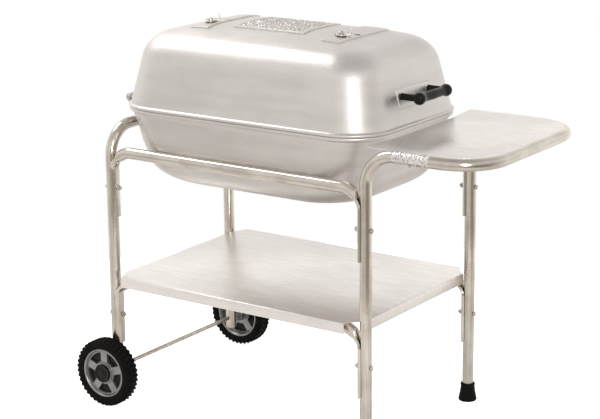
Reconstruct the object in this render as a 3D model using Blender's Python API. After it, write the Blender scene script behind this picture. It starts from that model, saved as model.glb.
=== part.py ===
"""Cast-aluminium charcoal grill and smoker on a two-wheeled tube cart.

Metres, +Z up, +X toward the handle and side shelf, -Y is the front. The origin is on the floor
under the middle of the overall length. Every piece is its own object, placed from one root empty
that stands midway between the four legs.
"""
import math

import bmesh
import bpy
from mathutils import Matrix, Vector
from mathutils.bvhtree import BVHTree

GAP = 0.0003                       # clearance between touching pieces

# Cart tubes
TUBE_R = 0.0127                    # one-inch tube
TUBE_WALL = 0.0016
TUBE_SIDES = 10
LEG_X = 0.336                      # legs stand at +-LEG_X, +-LEG_Y
LEG_Y = 0.2155
TOP_RAIL_Z = 0.586
SHELF_RAIL_Z = 0.2875
UPPER_BOLT_Z = 0.5025
LOWER_BOLT_Z = 0.2075
TOP_SADDLE_END_Z = 0.436
SHELF_SADDLE_END_Z = 0.140
SADDLE_SPAN = math.radians(65)     # half the angle that a saddle hugs
SADDLE_INNER = (TUBE_R + GAP) / math.cos(SADDLE_SPAN / (TUBE_SIDES / 2 - 1))
SADDLE_OUTER = 0.0176              # from the leg's axis to the saddle's outer face
SADDLE_AXIS = (SADDLE_INNER + SADDLE_OUTER) / 2
RAIL_BEND = 0.040
PRESS_START = math.radians(40)     # how far round its bend a rail starts to flatten
PUSH_BAR_Z = 0.637
PUSH_BAR_BEND = 0.065
LEFT_LEG_END_Z = 0.053
SIDE_TUBE_Z = 0.664
SIDE_TUBE_X = 0.600
SIDE_LEG_BEND = 0.067
SIDE_CORNER_BEND = 0.095
RIGHT_LEG_END_Z = 0.008

# Sheet-metal shelves
SHEET = 0.0015
TRAY_Z = 0.302
TRAY_LEFT, TRAY_RIGHT, TRAY_HALF_Y = -0.318, 0.328, 0.240
TRAY_CUT_Y, TRAY_CUT_LEFT, TRAY_CUT_RIGHT = 0.040, 0.020, 0.030
TRAY_FLANGE = 0.022
SHELF_TIP_X = 0.326                # inner corners of the side shelf, beside the tub
SHELF_INNER_X = 0.345
SHELF_TAB_X = (0.404, 0.488)
SHELF_TAB_TURN = math.radians(165)
SHELF_SCREW_X = 0.444
SHELF_SCREW_TURN = SHELF_TAB_TURN * 11 / 12

# Wheels and feet
WHEEL_R = 0.0778
WHEEL_INNER_Y, WHEEL_OUTER_Y = 0.2360, 0.2750
TYRE_BEAD_R = 0.0570
AXLE_R = 0.0050
AXLE_END_Y = 0.2700
CAP_R, CAP_FACE_Y = 0.0215, 0.2760
FOOT_TOP_Z = 0.041

# Capsule: half sizes of a rounded rectangle at the parting line
CORNER_SEGMENTS = 5
WALL = 0.0045
RIM_Z = 0.6840                     # top of the tub's rim
BEAD_X, BEAD_Y, BEAD_CORNER = 0.334, 0.2105, 0.099
TUB_WALL_X, TUB_WALL_Y = 0.327, 0.2062
SHOULDER_Z = 0.606
TUB_BOTTOM_Z = 0.5165
LEDGE_Z = 0.6480                   # the cooking grate's ledge
LID_Z = RIM_Z + 0.0006
FLANGE_X, FLANGE_Y, FLANGE_CORNER = 0.336, 0.2125, 0.1015
LID_WALL_X, LID_WALL_Y, LID_CORNER = 0.330, 0.2064, 0.0955
LID_WALL_Z = 0.694
LID_DRAFT = math.radians(13)
LID_TURN_Z = 0.797                 # where the walls start to turn in to the roof
LID_TURN_R = 0.068
LID_EAVE = math.radians(19)        # slope of the roof where the turn ends
ROOF_STRETCH = 1.55                # the crown is longer in X than in Y by this much

# Hinge
HINGE_X, HINGE_Z = -0.3570, 0.6880
HINGE_Y = 0.118
PIN_R = 0.0040
KNUCKLE_R = 0.0090
LUG_THICK = 0.0080
EAR_THICK = 0.0080

# Handle
HANDLE_Z = 0.7500
HANDLE_POST_Y = 0.0535
HANDLE_GRIP_X = 0.3640
HANDLE_PAD = 0.0020                # how far the cast pad behind the posts stands proud
POST_R = 0.0072

# Dampers
VENT_R = 0.0075
PAD_HEIGHT = 0.0030
DAMPER_PADS = {"left": (-0.195, -0.148), "right": (0.148, 0.195)}
PAD_Y = (-0.098, 0.098)
CENTRE_PAD_X = (-0.095, 0.088)
DAMPER_PIVOT_Y = -0.055
VENT_REACH = 0.044                 # from a damper's pivot to its vent
VENT_ANGLE = 70                    # degrees from +X, seen from outside the capsule
DAMPER_ANGLE = 125                 # where the damper points at rest
TAB_ANGLE = 40                     # where its finger tab points
DAMPER_HUB_R, DAMPER_END_R, DAMPER_T = 0.0120, 0.0145, 0.0025
TAB_REACH = 0.022                  # from the pivot to the upright finger tab
BASE_DAMPER_X = 0.078

ROOT_X = (LEG_X + WHEEL_R - SIDE_TUBE_X - TUBE_R * math.cos(math.pi / TUBE_SIDES)) / 2

# ---------------------------------------------------------------- scene and object helpers

for old in list(bpy.data.objects):
    bpy.data.objects.remove(old, do_unlink=True)

root = bpy.data.objects.new("grill", None)
root.location = (ROOT_X, 0, 0)
bpy.context.scene.collection.objects.link(root)
origins = {root: Vector((0, 0, 0))}


def material(name, colour, roughness, metallic):
    """A Principled material of one plain colour."""
    mat = bpy.data.materials.new(name)
    mat.use_nodes = True
    shader = mat.node_tree.nodes["Principled BSDF"]
    shader.inputs["Base Color"].default_value = (*colour, 1)
    shader.inputs["Roughness"].default_value = roughness
    shader.inputs["Metallic"].default_value = metallic
    mat.diffuse_color = (*colour, 1)
    return mat


CAST = material("cast_aluminium", (0.62, 0.59, 0.56), 0.42, 0.9)
TUBE = material("polished_tube", (0.66, 0.60, 0.52), 0.16, 1.0)
SHEET_METAL = material("embossed_sheet", (0.78, 0.76, 0.74), 0.35, 0.9)
RUBBER = material("black_rubber", (0.022, 0.022, 0.022), 0.75, 0.0)
TYRE = material("tyre_rubber", (0.018, 0.018, 0.019), 0.80, 0.0)
HUB = material("grey_hub", (0.20, 0.21, 0.22), 0.45, 0.0)
CAP = material("black_cap", (0.02, 0.02, 0.02), 0.35, 0.0)
HANDLE = material("black_handle", (0.02, 0.018, 0.016), 0.40, 0.0)
STEEL = material("zinc_steel", (0.52, 0.50, 0.47), 0.30, 1.0)
GRATE = material("grate_steel", (0.30, 0.30, 0.30), 0.40, 1.0)


def finish(name, bm, mat, origin=(0, 0, 0), parent=None, smooth=math.radians(35)):
    """Turns a bmesh in cart coordinates into an object whose origin is at `origin`."""
    origin = Vector(origin)
    bmesh.ops.translate(bm, verts=bm.verts, vec=-origin)
    mesh = bpy.data.meshes.new(name)
    bm.to_mesh(mesh)
    bm.free()
    mesh.materials.append(mat)
    mesh.shade_smooth()
    mesh.set_sharp_from_angle(angle=smooth)
    obj = bpy.data.objects.new(name, mesh)
    parent = parent or root
    obj.parent = parent
    obj.location = origin - origins[parent]
    origins[obj] = origin
    bpy.context.scene.collection.objects.link(obj)
    return obj


def combine(obj, bm, operation="DIFFERENCE"):
    """Cuts a hidden helper solid from the object, or joins it on."""
    helper = finish(f"{obj.name}_{operation.lower()}_{len(obj.modifiers)}", bm, obj.data.materials[0])
    helper.hide_render = True
    helper.display_type = "WIRE"
    modifier = obj.modifiers.new(operation.title(), "BOOLEAN")
    modifier.operation = operation
    modifier.solver = "EXACT"
    modifier.object = helper


def axis_frame(direction):
    """Rotation that carries +Z to the direction."""
    return Vector((0, 0, 1)).rotation_difference(Vector(direction).normalized()).to_matrix().to_4x4()


def rod(bm, start, end, radius, sides=12):
    """A solid cylinder between two points."""
    start, end = Vector(start), Vector(end)
    place = Matrix.Translation((start + end) / 2) @ axis_frame(end - start)
    bmesh.ops.create_cone(bm, cap_ends=True, segments=sides, radius1=radius, radius2=radius,
                          depth=(end - start).length, matrix=place)
    return bm


def block(bm, low, high):
    """A box between two corners."""
    low, high = Vector(low), Vector(high)
    size = high - low
    place = Matrix.Translation((low + high) / 2) @ Matrix.Diagonal((*size, 1))
    bmesh.ops.create_cube(bm, size=1, matrix=place)
    return bm


def facing_out(bm):
    """Points every face of the one closed body in the bmesh outward."""
    bmesh.ops.recalc_face_normals(bm, faces=bm.faces)
    if bm.calc_volume(signed=True) < 0:
        bmesh.ops.reverse_faces(bm, faces=bm.faces)
    return bm


def arc(centre, radius, start, end, segments):
    """Points of a circle arc in a plane, both ends included; angles in degrees."""
    angles = [math.radians(start + (end - start) * i / segments) for i in range(segments + 1)]
    return [(centre[0] + radius * math.cos(a), centre[1] + radius * math.sin(a)) for a in angles]


def prism(bm, outline, low, high):
    """An outline of (x, z) points, extruded along Y."""
    ends = [[bm.verts.new((x, y, z)) for x, z in outline] for y in (low, high)]
    bm.faces.new(ends[0])
    bm.faces.new(reversed(ends[1]))
    skin(bm, ends)
    return facing_out(bm)


def skin(bm, rings, closed=False):
    """Quads between neighbouring rings of the same length."""
    pairs = list(zip(rings, rings[1:] + rings[:1])) if closed else list(zip(rings, rings[1:]))
    for one, other in pairs:
        for i, vertex in enumerate(one):
            j = (i + 1) % len(one)
            bm.faces.new((vertex, one[j], other[j], other[i]))


def turned(profile, origin, direction, sides=24):
    """A profile of (radius, height) points turned about an axis; a zero radius is a pole."""
    bm = bmesh.new()
    place = Matrix.Translation(Vector(origin)) @ axis_frame(direction)
    rings = []
    for radius, height in profile:
        if radius == 0:
            rings.append([bm.verts.new(place @ Vector((0, 0, height)))])
            continue
        angles = [2 * math.pi * k / sides for k in range(sides)]
        rings.append([bm.verts.new(place @ Vector((radius * math.cos(a), radius * math.sin(a), height)))
                      for a in angles])
    solid = len(rings[0]) == 1
    pairs = zip(rings, rings[1:]) if solid else zip(rings, rings[1:] + rings[:1])
    for one, other in pairs:
        for i in range(sides):
            j = (i + 1) % sides
            loop = {one[i % len(one)]: 0, one[j % len(one)]: 0, other[j % len(other)]: 0,
                    other[i % len(other)]: 0}
            bm.faces.new(list(loop))
    return facing_out(bm)


def rounded_rectangle(half_x, half_y, corner, z, centre_x=0.0):
    """Points of a rounded rectangle, counter-clockwise from the +X side's upper end."""
    points = []
    for sign_x, sign_y, start in ((1, 1, 0), (-1, 1, 90), (-1, -1, 180), (1, -1, 270)):
        centre = (centre_x + sign_x * (half_x - corner), sign_y * (half_y - corner))
        points += [(x, y, z) for x, y in arc(centre, corner, start, start + 90, CORNER_SEGMENTS)]
    return points


def stack(sections, cap_start=True, cap_end=True):
    """A solid through a list of sections (half_x, half_y, corner, z), capped where asked."""
    bm = bmesh.new()
    rings = [[bm.verts.new(p) for p in rounded_rectangle(*section)] for section in sections]
    skin(bm, rings)
    if cap_start:
        bm.faces.new(rings[0])
    if cap_end:
        bm.faces.new(list(reversed(rings[-1])))
    return facing_out(bm)


# ---------------------------------------------------------------- tubes

def bent_path(corners, bends, segments=4):
    """Centre line through the corner points, each inner corner rounded to its bend radius."""
    corners = [Vector(c) for c in corners]
    path = [corners[0]]
    for before, corner, after, radius in zip(corners, corners[1:], corners[2:], bends):
        back, ahead = (before - corner).normalized(), (after - corner).normalized()
        half = back.angle(ahead) / 2
        centre = corner + (back + ahead).normalized() * radius / math.sin(half)
        start = corner + back * radius / math.tan(half) - centre
        axis = start.cross(corner + ahead * radius / math.tan(half) - centre)
        turn = math.pi - 2 * half
        path += [centre + Matrix.Rotation(turn * i / segments, 3, axis) @ start
                 for i in range(segments + 1)]
    return path + [corners[-1]]


def tangents(path):
    """Unit direction of the path at each of its points."""
    steps = [(b - a).normalized() for a, b in zip(path, path[1:])]
    return [steps[0], *((a + b).normalized() for a, b in zip(steps, steps[1:])), steps[-1]]


def open_tube(path, up=(0, 1, 0)):
    """A hollow round tube with open ends along the path."""
    bm = bmesh.new()
    side = Vector(up)
    shells = [[], []]
    last = None
    for point, direction in zip(path, tangents(path)):
        if last is not None:
            side = last.rotation_difference(direction) @ side
        last = direction
        across = direction.cross(side).normalized()
        side = across.cross(direction).normalized()
        for shell, radius in zip(shells, (TUBE_R, TUBE_R - TUBE_WALL)):
            angles = [2 * math.pi * (k + 0.5) / TUBE_SIDES for k in range(TUBE_SIDES)]
            shell.append([bm.verts.new(point + radius * (math.cos(a) * side + math.sin(a) * across))
                          for a in angles])
    skin(bm, shells[0] + shells[1][::-1], closed=True)
    return facing_out(bm)


def saddle_ring(shrink, flatness):
    """Section of a rail's end, from round (0) to a crescent that hugs the leg (1).

    Returns (away, across) offsets from the rail's centre line, `away` pointing from the leg.
    """
    points = []
    for k in range(TUBE_SIDES):
        angle = 2 * math.pi * (k + 0.5) / TUBE_SIDES
        outside = math.cos(angle) > 0
        turn = math.remainder(angle if outside else math.pi - angle, 2 * math.pi)
        widest = math.pi / 2 - math.pi / TUBE_SIDES
        swing = turn / widest * (SADDLE_SPAN - shrink / TUBE_R)
        reach = SADDLE_OUTER - shrink if outside else SADDLE_INNER + shrink
        circle = Vector((math.cos(angle), math.sin(angle))) * (TUBE_R - shrink)
        crescent = Vector((reach * math.cos(swing) - SADDLE_AXIS, reach * math.sin(swing)))
        points.append(circle.lerp(crescent, flatness))
    return points


def saddle_rail(y, rail_z, end_z):
    """A rail between the legs whose ends turn down and are pressed into saddles."""
    side = LEG_X - SADDLE_AXIS
    half = bent_path([(0, y, rail_z), (side, y, rail_z), (side, y, end_z)], [RAIL_BEND], 6)[1:]
    path = [Vector((-p.x, y, p.z)) for p in reversed(half)] + half
    bm = bmesh.new()
    shells = [[], []]
    for point, direction in zip(path, tangents(path)):
        turned_down = math.asin(min(1.0, abs(direction.z)))
        share = max(0.0, (turned_down - PRESS_START) / (math.pi / 2 - PRESS_START))
        flatness = 1 - (1 - min(1.0, share)) ** 1.6
        inward = Vector((direction.z, 0, -direction.x))
        for shell, shrink in zip(shells, (0.0, TUBE_WALL)):
            shell.append([bm.verts.new(point + a * inward + Vector((0, b, 0)))
                          for a, b in saddle_ring(shrink, flatness)])
    skin(bm, shells[0] + shells[1][::-1], closed=True)
    return facing_out(bm)


def bolt_holes(leg_x, y, heights, radius=0.0033):
    """Cutters along X through a leg and its saddles at the given heights."""
    bm = bmesh.new()
    for z in heights:
        rod(bm, (leg_x - 0.03, y, z), (leg_x + 0.03, y, z), radius, 8)
    return bm


def make_left_frame():
    """The push-bar frame at the wheel end."""
    corners = [(-LEG_X, -LEG_Y, LEFT_LEG_END_Z), (-LEG_X, -LEG_Y, PUSH_BAR_Z),
               (-LEG_X, LEG_Y, PUSH_BAR_Z), (-LEG_X, LEG_Y, LEFT_LEG_END_Z)]
    bm = open_tube(bent_path(corners, [PUSH_BAR_BEND] * 2))
    frame = finish("left_end_frame", bm, TUBE)
    for y in (-LEG_Y, LEG_Y):
        combine(frame, bolt_holes(-LEG_X, y, (UPPER_BOLT_Z, LOWER_BOLT_Z)))
    combine(frame, rod(bmesh.new(), (-LEG_X, -0.24, WHEEL_R), (-LEG_X, 0.24, WHEEL_R), AXLE_R + GAP))


def shelf_screw_line(side):
    """A point on the side tube's centre line, and the direction in which its shelf screw points out."""
    out = Vector((0, side * math.sin(SHELF_SCREW_TURN), math.cos(SHELF_SCREW_TURN)))
    return Vector((SHELF_SCREW_X, side * LEG_Y, SIDE_TUBE_Z)), out


def make_right_frame():
    """The legs at the handle end, one tube with the loop that carries the side shelf."""
    corners = [(LEG_X, -LEG_Y, RIGHT_LEG_END_Z), (LEG_X, -LEG_Y, SIDE_TUBE_Z),
               (SIDE_TUBE_X, -LEG_Y, SIDE_TUBE_Z), (SIDE_TUBE_X, LEG_Y, SIDE_TUBE_Z),
               (LEG_X, LEG_Y, SIDE_TUBE_Z), (LEG_X, LEG_Y, RIGHT_LEG_END_Z)]
    bends = [SIDE_LEG_BEND, SIDE_CORNER_BEND, SIDE_CORNER_BEND, SIDE_LEG_BEND]
    frame = finish("right_end_frame", open_tube(bent_path(corners, bends)), TUBE)
    for y in (-LEG_Y, LEG_Y):
        combine(frame, bolt_holes(LEG_X, y, (UPPER_BOLT_Z, LOWER_BOLT_Z)))
    for side in (-1, 1):
        axis, out = shelf_screw_line(side)
        combine(frame, rod(bmesh.new(), axis + 0.006 * out, axis + 0.020 * out, 0.0024, 8))


def make_rails():
    """Two rails that carry the capsule and two that carry the lower shelf."""
    levels = (("top", TOP_RAIL_Z, TOP_SADDLE_END_Z, UPPER_BOLT_Z),
              ("shelf", SHELF_RAIL_Z, SHELF_SADDLE_END_Z, LOWER_BOLT_Z))
    for label, rail_z, end_z, bolt_z in levels:
        for side, y in (("front", -LEG_Y), ("back", LEG_Y)):
            rail = finish(f"{label}_rail_{side}", saddle_rail(y, rail_z, end_z), TUBE)
            holes = bolt_holes(-LEG_X, y, [bolt_z])
            rod(holes, (LEG_X - 0.03, y, bolt_z), (LEG_X + 0.03, y, bolt_z), 0.0033, 8)
            combine(rail, holes)


def make_bolts():
    """One bolt and one nut through each saddle and leg."""
    head_x = TUBE_R + GAP
    saddle_x = SADDLE_OUTER + GAP
    for end, leg_x, out in (("left", -LEG_X, -1), ("right", LEG_X, 1)):
        for side, y in (("front", -LEG_Y), ("back", LEG_Y)):
            for level, z in (("upper", UPPER_BOLT_Z), ("lower", LOWER_BOLT_Z)):
                name = f"{level}_{end}_{side}"
                bolt = [(0, head_x + 0.0050), (0.0030, head_x + 0.0042), (0.0052, head_x + 0.0018),
                        (0.0056, head_x), (0.0030, head_x), (0.0030, -saddle_x - 0.0090),
                        (0, -saddle_x - 0.0090)]
                nut = [(0.0038, saddle_x), (0.0058, saddle_x), (0.0058, saddle_x + 0.0050),
                       (0.0038, saddle_x + 0.0050)]
                centre = (leg_x, y, z)
                finish(f"bolt_{name}", turned(bolt, centre, (out, 0, 0), 8), STEEL, centre)
                finish(f"nut_{name}", turned(nut, centre, (-out, 0, 0), 6), STEEL, centre,
                       smooth=math.radians(25))


# ---------------------------------------------------------------- shelves

def make_lower_shelf():
    """Embossed tray with folded sides and cut corners, lying on the shelf rails."""
    left, right, side = TRAY_LEFT + TRAY_CUT_LEFT, TRAY_RIGHT - TRAY_CUT_RIGHT, TRAY_HALF_Y - TRAY_CUT_Y
    outline = [(left, -TRAY_HALF_Y), (right, -TRAY_HALF_Y), (TRAY_RIGHT, -side), (TRAY_RIGHT, side),
               (right, TRAY_HALF_Y), (left, TRAY_HALF_Y), (TRAY_LEFT, side), (TRAY_LEFT, -side)]
    bm = bmesh.new()
    top = [bm.verts.new((x, y, TRAY_Z)) for x, y in outline]
    bm.faces.new(top)
    for i in range(0, len(top), 2):
        low = [bm.verts.new(top[k].co - Vector((0, 0, TRAY_FLANGE))) for k in (i, i + 1)]
        bm.faces.new((top[i + 1], top[i], low[0], low[1]))
    bmesh.ops.recalc_face_normals(bm, faces=bm.faces)
    if max(bm.faces, key=lambda face: face.calc_area()).normal.z < 0:
        bmesh.ops.reverse_faces(bm, faces=bm.faces)
    thicken(sheet("lower_shelf", bm), -1)


def sheet(name, bm):
    """An object made from an open sheet whose faces already point the right way."""
    mesh = bpy.data.meshes.new(name)
    bm.to_mesh(mesh)
    bm.free()
    mesh.materials.append(SHEET_METAL)
    obj = bpy.data.objects.new(name, mesh)
    obj.parent = root
    origins[obj] = Vector((0, 0, 0))
    bpy.context.scene.collection.objects.link(obj)
    return obj


def thicken(obj, offset):
    """Gives a sheet its thickness, below its faces (-1) or above them (1)."""
    solid = obj.modifiers.new("Thickness", "SOLIDIFY")
    solid.thickness = SHEET
    solid.offset = offset
    solid.use_even_offset = True


def make_side_shelf():
    """Embossed plate on the side loop, with a tab rolled round the tube at front and back."""
    plate_z = SIDE_TUBE_Z + TUBE_R + GAP
    tab_low, tab_high = SHELF_TAB_X
    outer = arc((SIDE_TUBE_X - SIDE_CORNER_BEND, LEG_Y - SIDE_CORNER_BEND), SIDE_CORNER_BEND, 90, 0, 5)
    half = [(SHELF_INNER_X, 0.120), (SHELF_TIP_X, 0.200), (SHELF_TIP_X + 0.010, LEG_Y),
            (tab_low, LEG_Y), (tab_high, LEG_Y), *outer]
    outline = [(x, -y) for x, y in half] + [(x, y) for x, y in reversed(half)]
    bm = bmesh.new()
    plate = [bm.verts.new((x, y, plate_z)) for x, y in outline]
    bm.faces.new(plate)
    rise = plate_z - SIDE_TUBE_Z
    radius = rise / math.cos(SHELF_TAB_TURN / 12)
    for side, edge in ((-1, plate[3:5]), (1, plate[-5:-3])):
        strips = [edge]
        for step in range(1, 7):
            turn = SHELF_TAB_TURN * step / 6
            offset = Vector((0, side * radius * math.sin(turn), radius * math.cos(turn) - rise))
            strips.append([bm.verts.new(v.co + offset) for v in edge])
        for above, below in zip(strips, strips[1:]):
            bm.faces.new((above[0], below[0], below[1], above[1]))
    bmesh.ops.recalc_face_normals(bm, faces=bm.faces)
    if max(bm.faces, key=lambda face: face.calc_area()).normal.z < 0:
        bmesh.ops.reverse_faces(bm, faces=bm.faces)
    shelf = sheet("side_shelf", bm)
    thicken(shelf, 1)
    for side, label in ((-1, "front"), (1, "back")):
        axis, out = shelf_screw_line(side)
        combine(shelf, rod(bmesh.new(), axis + 0.008 * out, axis + 0.020 * out, 0.0024, 8))
        screw = [(0, 0.0022), (0.0026, 0.0016), (0.0042, 0), (0.0020, 0), (0.0020, -0.0080),
                 (0, -0.0080)]
        centre = axis + (rise + SHEET + GAP) * out
        finish(f"side_shelf_screw_{label}", turned(screw, centre, out, 10), STEEL, centre)


# ---------------------------------------------------------------- wheels, axle and feet

def make_wheels():
    """Tyre, spoked hub and cap at each end of the axle, all turned about the axle."""
    finish("axle", rod(bmesh.new(), (-LEG_X, -AXLE_END_Y, WHEEL_R), (-LEG_X, AXLE_END_Y, WHEEL_R),
                       AXLE_R), STEEL, (-LEG_X, 0, WHEEL_R))
    width = WHEEL_OUTER_Y - WHEEL_INNER_Y
    tyre_profile = [(TYRE_BEAD_R, 0.003), (0.064, 0), (0.0745, 0.001), (WHEEL_R, 0.005),
                    (WHEEL_R, width - 0.005), (0.0745, width - 0.001), (0.064, width),
                    (TYRE_BEAD_R, width - 0.003)]
    rim = TYRE_BEAD_R - GAP
    hub_profile = [(rim, 0.004), (rim, width - 0.004), (0.0530, width - 0.004), (0.0500, width - 0.009),
                   (0.0240, width - 0.009), (0.0225, width - 0.004), (AXLE_R + GAP, width - 0.004),
                   (AXLE_R + GAP, 0.001), (0.0160, 0.001), (0.0180, 0.016), (0.0500, 0.018),
                   (0.0530, 0.004)]
    cap_back = width - 0.004 + GAP
    cap_front = CAP_FACE_Y - WHEEL_INNER_Y
    cap_profile = [(0, cap_front), (0.012, cap_front - 0.0004), (0.0190, cap_front - 0.0020),
                   (CAP_R, cap_front - 0.0050), (CAP_R, cap_back), (0.0065, cap_back),
                   (0.0065, cap_back + 0.004), (0, cap_back + 0.004)]
    for label, side in (("front", -1), ("back", 1)):
        inner = (-LEG_X, side * WHEEL_INNER_Y, WHEEL_R)
        out = (0, side, 0)
        finish(f"tyre_{label}", turned(tyre_profile, inner, out, 32), TYRE, inner)
        hub = finish(f"wheel_hub_{label}", turned(hub_profile, inner, out, 24), HUB, inner)
        for spoke in range(5):
            combine(hub, hub_window(inner, side, 72 * spoke + 54))
        finish(f"wheel_cap_{label}", turned(cap_profile, inner, out, 20), CAP, inner)


def hub_window(inner, side, middle):
    """Cutter for one window between two spokes, centred on an angle in degrees."""
    outline = arc((0, 0), 0.0475, middle - 25, middle + 25, 3)
    outline += arc((0, 0), 0.0270, middle + 17, middle - 17, 1)
    points = [(inner[0] + x, inner[2] + z) for x, z in outline]
    low, high = sorted((inner[1] + side * 0.006, inner[1] + side * 0.034))
    return prism(bmesh.new(), points, low, high)


def make_feet():
    """Flared rubber boots on the two legs without wheels."""
    bore = TUBE_R + GAP
    profile = [(0, 0), (0.0200, 0), (0.0208, 0.003), (0.0185, 0.012), (0.0160, 0.026),
               (0.0158, FOOT_TOP_Z), (bore, FOOT_TOP_Z), (bore, RIGHT_LEG_END_Z - GAP),
               (0, RIGHT_LEG_END_Z - GAP)]
    for label, y in (("front", -LEG_Y), ("back", LEG_Y)):
        centre = (LEG_X, y, 0)
        finish(f"foot_{label}", turned(profile, centre, (0, 0, 1), 18), RUBBER, centre)


# ---------------------------------------------------------------- capsule

def tub_outside():
    """Sections of the tub's outer face, from the rim to the bottom."""
    wall_x, wall_y = TUB_WALL_X, TUB_WALL_Y
    sections = [(BEAD_X - 0.002, BEAD_Y - 0.002, BEAD_CORNER - 0.002, RIM_Z),
                (BEAD_X, BEAD_Y, BEAD_CORNER, RIM_Z - 0.003),
                (BEAD_X, BEAD_Y, BEAD_CORNER, RIM_Z - 0.0075),
                (wall_x, wall_y, 0.096, RIM_Z - 0.0115),
                (wall_x - 0.010, wall_y - 0.0015, 0.100, 0.645),
                (wall_x - 0.018, wall_y - 0.0030, 0.108, SHOULDER_Z)]
    belly_x, belly_y, belly_corner = wall_x - 0.024, wall_y - 0.0042, 0.112
    top_z = 0.588
    for step in range(7):
        turn = math.radians(90 * step / 6)
        along = 1 - math.cos(turn)
        sections.append((belly_x - 0.112 * along, belly_y - 0.078 * along,
                         belly_corner - 0.030 * along,
                         top_z - (top_z - TUB_BOTTOM_Z) * math.sin(turn)))
    return sections


def shrunk(sections, thickness, rim_z):
    """Sections moved in by a thickness; those far from the rim also move toward it."""
    far = max(abs(section[3] - rim_z) for section in sections)
    moved = []
    for half_x, half_y, corner, z in sections:
        share = min(1.0, 1.2 * ((z - rim_z) / far) ** 2)
        moved.append((half_x - thickness, half_y - thickness, corner - thickness,
                      z + math.copysign(thickness * share, rim_z - z)))
    return moved


def make_tub():
    """The lower casting: bead rim, drafted walls, rounded belly, grate ledge and hinge lugs."""
    outside = tub_outside()
    inside = shrunk(outside[5:], WALL, outside[0][3])
    ledge_x, ledge_y, ledge_corner = TUB_WALL_X - 0.022, TUB_WALL_Y - 0.0115, 0.098
    mouth = [(BEAD_X - 0.013, BEAD_Y - 0.009, 0.092, RIM_Z),
             (TUB_WALL_X - 0.0165, TUB_WALL_Y - 0.0060, 0.096, LEDGE_Z),
             (ledge_x, ledge_y, ledge_corner, LEDGE_Z)]
    bm = stack(list(reversed(outside)) + mouth + inside)
    tub = finish("base_tub", bm, CAST, (0, 0, RIM_Z))
    for side in (-1, 1):
        combine(tub, hinge_lug(side * HINGE_Y), "UNION")
    for side in (-1, 1):
        centre_x = side * BASE_DAMPER_X
        combine(tub, vents((centre_x, 0, TUB_BOTTOM_Z), (0, 0, -1)))
    for side in (-1, 1):
        y = side * HINGE_Y
        combine(tub, rod(bmesh.new(), (HINGE_X, y - 0.01, HINGE_Z), (HINGE_X, y + 0.01, HINGE_Z),
                         PIN_R + GAP))
    return tub


def hinge_lug(y):
    """Cast lug that stands off the tub's end wall, with a gusset under it."""
    knuckle = arc((HINGE_X, HINGE_Z), KNUCKLE_R, 60, 230, 6)
    outline = knuckle + [(-0.3460, 0.6640), (-TUB_WALL_X + 0.014, 0.6400), (-TUB_WALL_X + 0.006, 0.6690),
                         (-BEAD_X + 0.004, 0.6790), (-BEAD_X - 0.0035, 0.6790),
                         (HINGE_X + KNUCKLE_R + 0.0015, HINGE_Z + 0.002)]
    return prism(bmesh.new(), outline, y - LUG_THICK / 2, y + LUG_THICK / 2)


def polar(reach, degrees):
    """Point at a distance and an angle from the origin."""
    return (reach * math.cos(math.radians(degrees)), reach * math.sin(math.radians(degrees)))


def surface_frame(centre, normal):
    """Placement whose +Z is the normal and whose +X points along the capsule."""
    normal = Vector(normal).normalized()
    across = normal.cross(Vector((1, 0, 0))).normalized()
    place = Matrix((across.cross(normal), across, normal)).transposed().to_4x4()
    place.translation = centre
    return place


def vents(centre, normal):
    """Cutters for a damper's pivot hole and for the vent that it covers."""
    bm = bmesh.new()
    vent = polar(VENT_REACH, VENT_ANGLE)
    for (x, y), radius in (((0, 0), 0.0028), (vent, VENT_R)):
        rod(bm, (x, y, -0.02), (x, y, 0.02), radius, 12)
    bmesh.ops.transform(bm, matrix=surface_frame(centre, normal), verts=bm.verts)
    return bm


def lid_outside():
    """Sections of the lid's outer face, from the flange to the crown."""
    sections = [(FLANGE_X - 0.001, FLANGE_Y - 0.001, FLANGE_CORNER - 0.001, LID_Z),
                (FLANGE_X, FLANGE_Y, FLANGE_CORNER, LID_Z + 0.0015),
                (FLANGE_X, FLANGE_Y, FLANGE_CORNER, LID_Z + 0.0055),
                (LID_WALL_X + 0.0020, LID_WALL_Y + 0.0020, LID_CORNER + 0.002, LID_WALL_Z - 0.0010)]

    def section(inset_x, inset_y, z):
        corner = max(0.012, LID_CORNER - 0.55 * inset_y)
        return (LID_WALL_X - inset_x, LID_WALL_Y - inset_y, corner, z)

    lean = math.tan(LID_DRAFT)
    rise = LID_TURN_Z - LID_WALL_Z
    sections += [section(share * rise * lean, share * rise * lean, LID_WALL_Z + share * rise)
                 for share in (0.0, 0.5, 1.0)]
    inset, z = rise * lean, LID_TURN_Z
    start, end = math.pi / 2 - LID_DRAFT, LID_EAVE
    for step in range(1, 6):
        heading = start + (end - start) * step / 5
        run = inset + LID_TURN_R * (math.sin(start) - math.sin(heading))
        sections.append(section(run, run, z + LID_TURN_R * (math.cos(heading) - math.cos(start))))
    inset, z = run, sections[-1][3]
    crown = LID_WALL_Y - inset - 0.016
    crown_radius = crown / math.sin(LID_EAVE)
    for step in range(1, 5):
        heading = LID_EAVE * (1 - step / 4)
        run = crown - crown_radius * math.sin(heading)
        sections.append(section(inset + run * ROOF_STRETCH, inset + run,
                                z + crown_radius * (math.cos(heading) - math.cos(LID_EAVE))))
    return sections


def roof_point(tree, x, y):
    """Point and normal of the lid's outer face straight above (x, y)."""
    point, normal, _, _ = tree.ray_cast(Vector((x, y, 1.2)), Vector((0, 0, -1)))
    return point, normal


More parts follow.
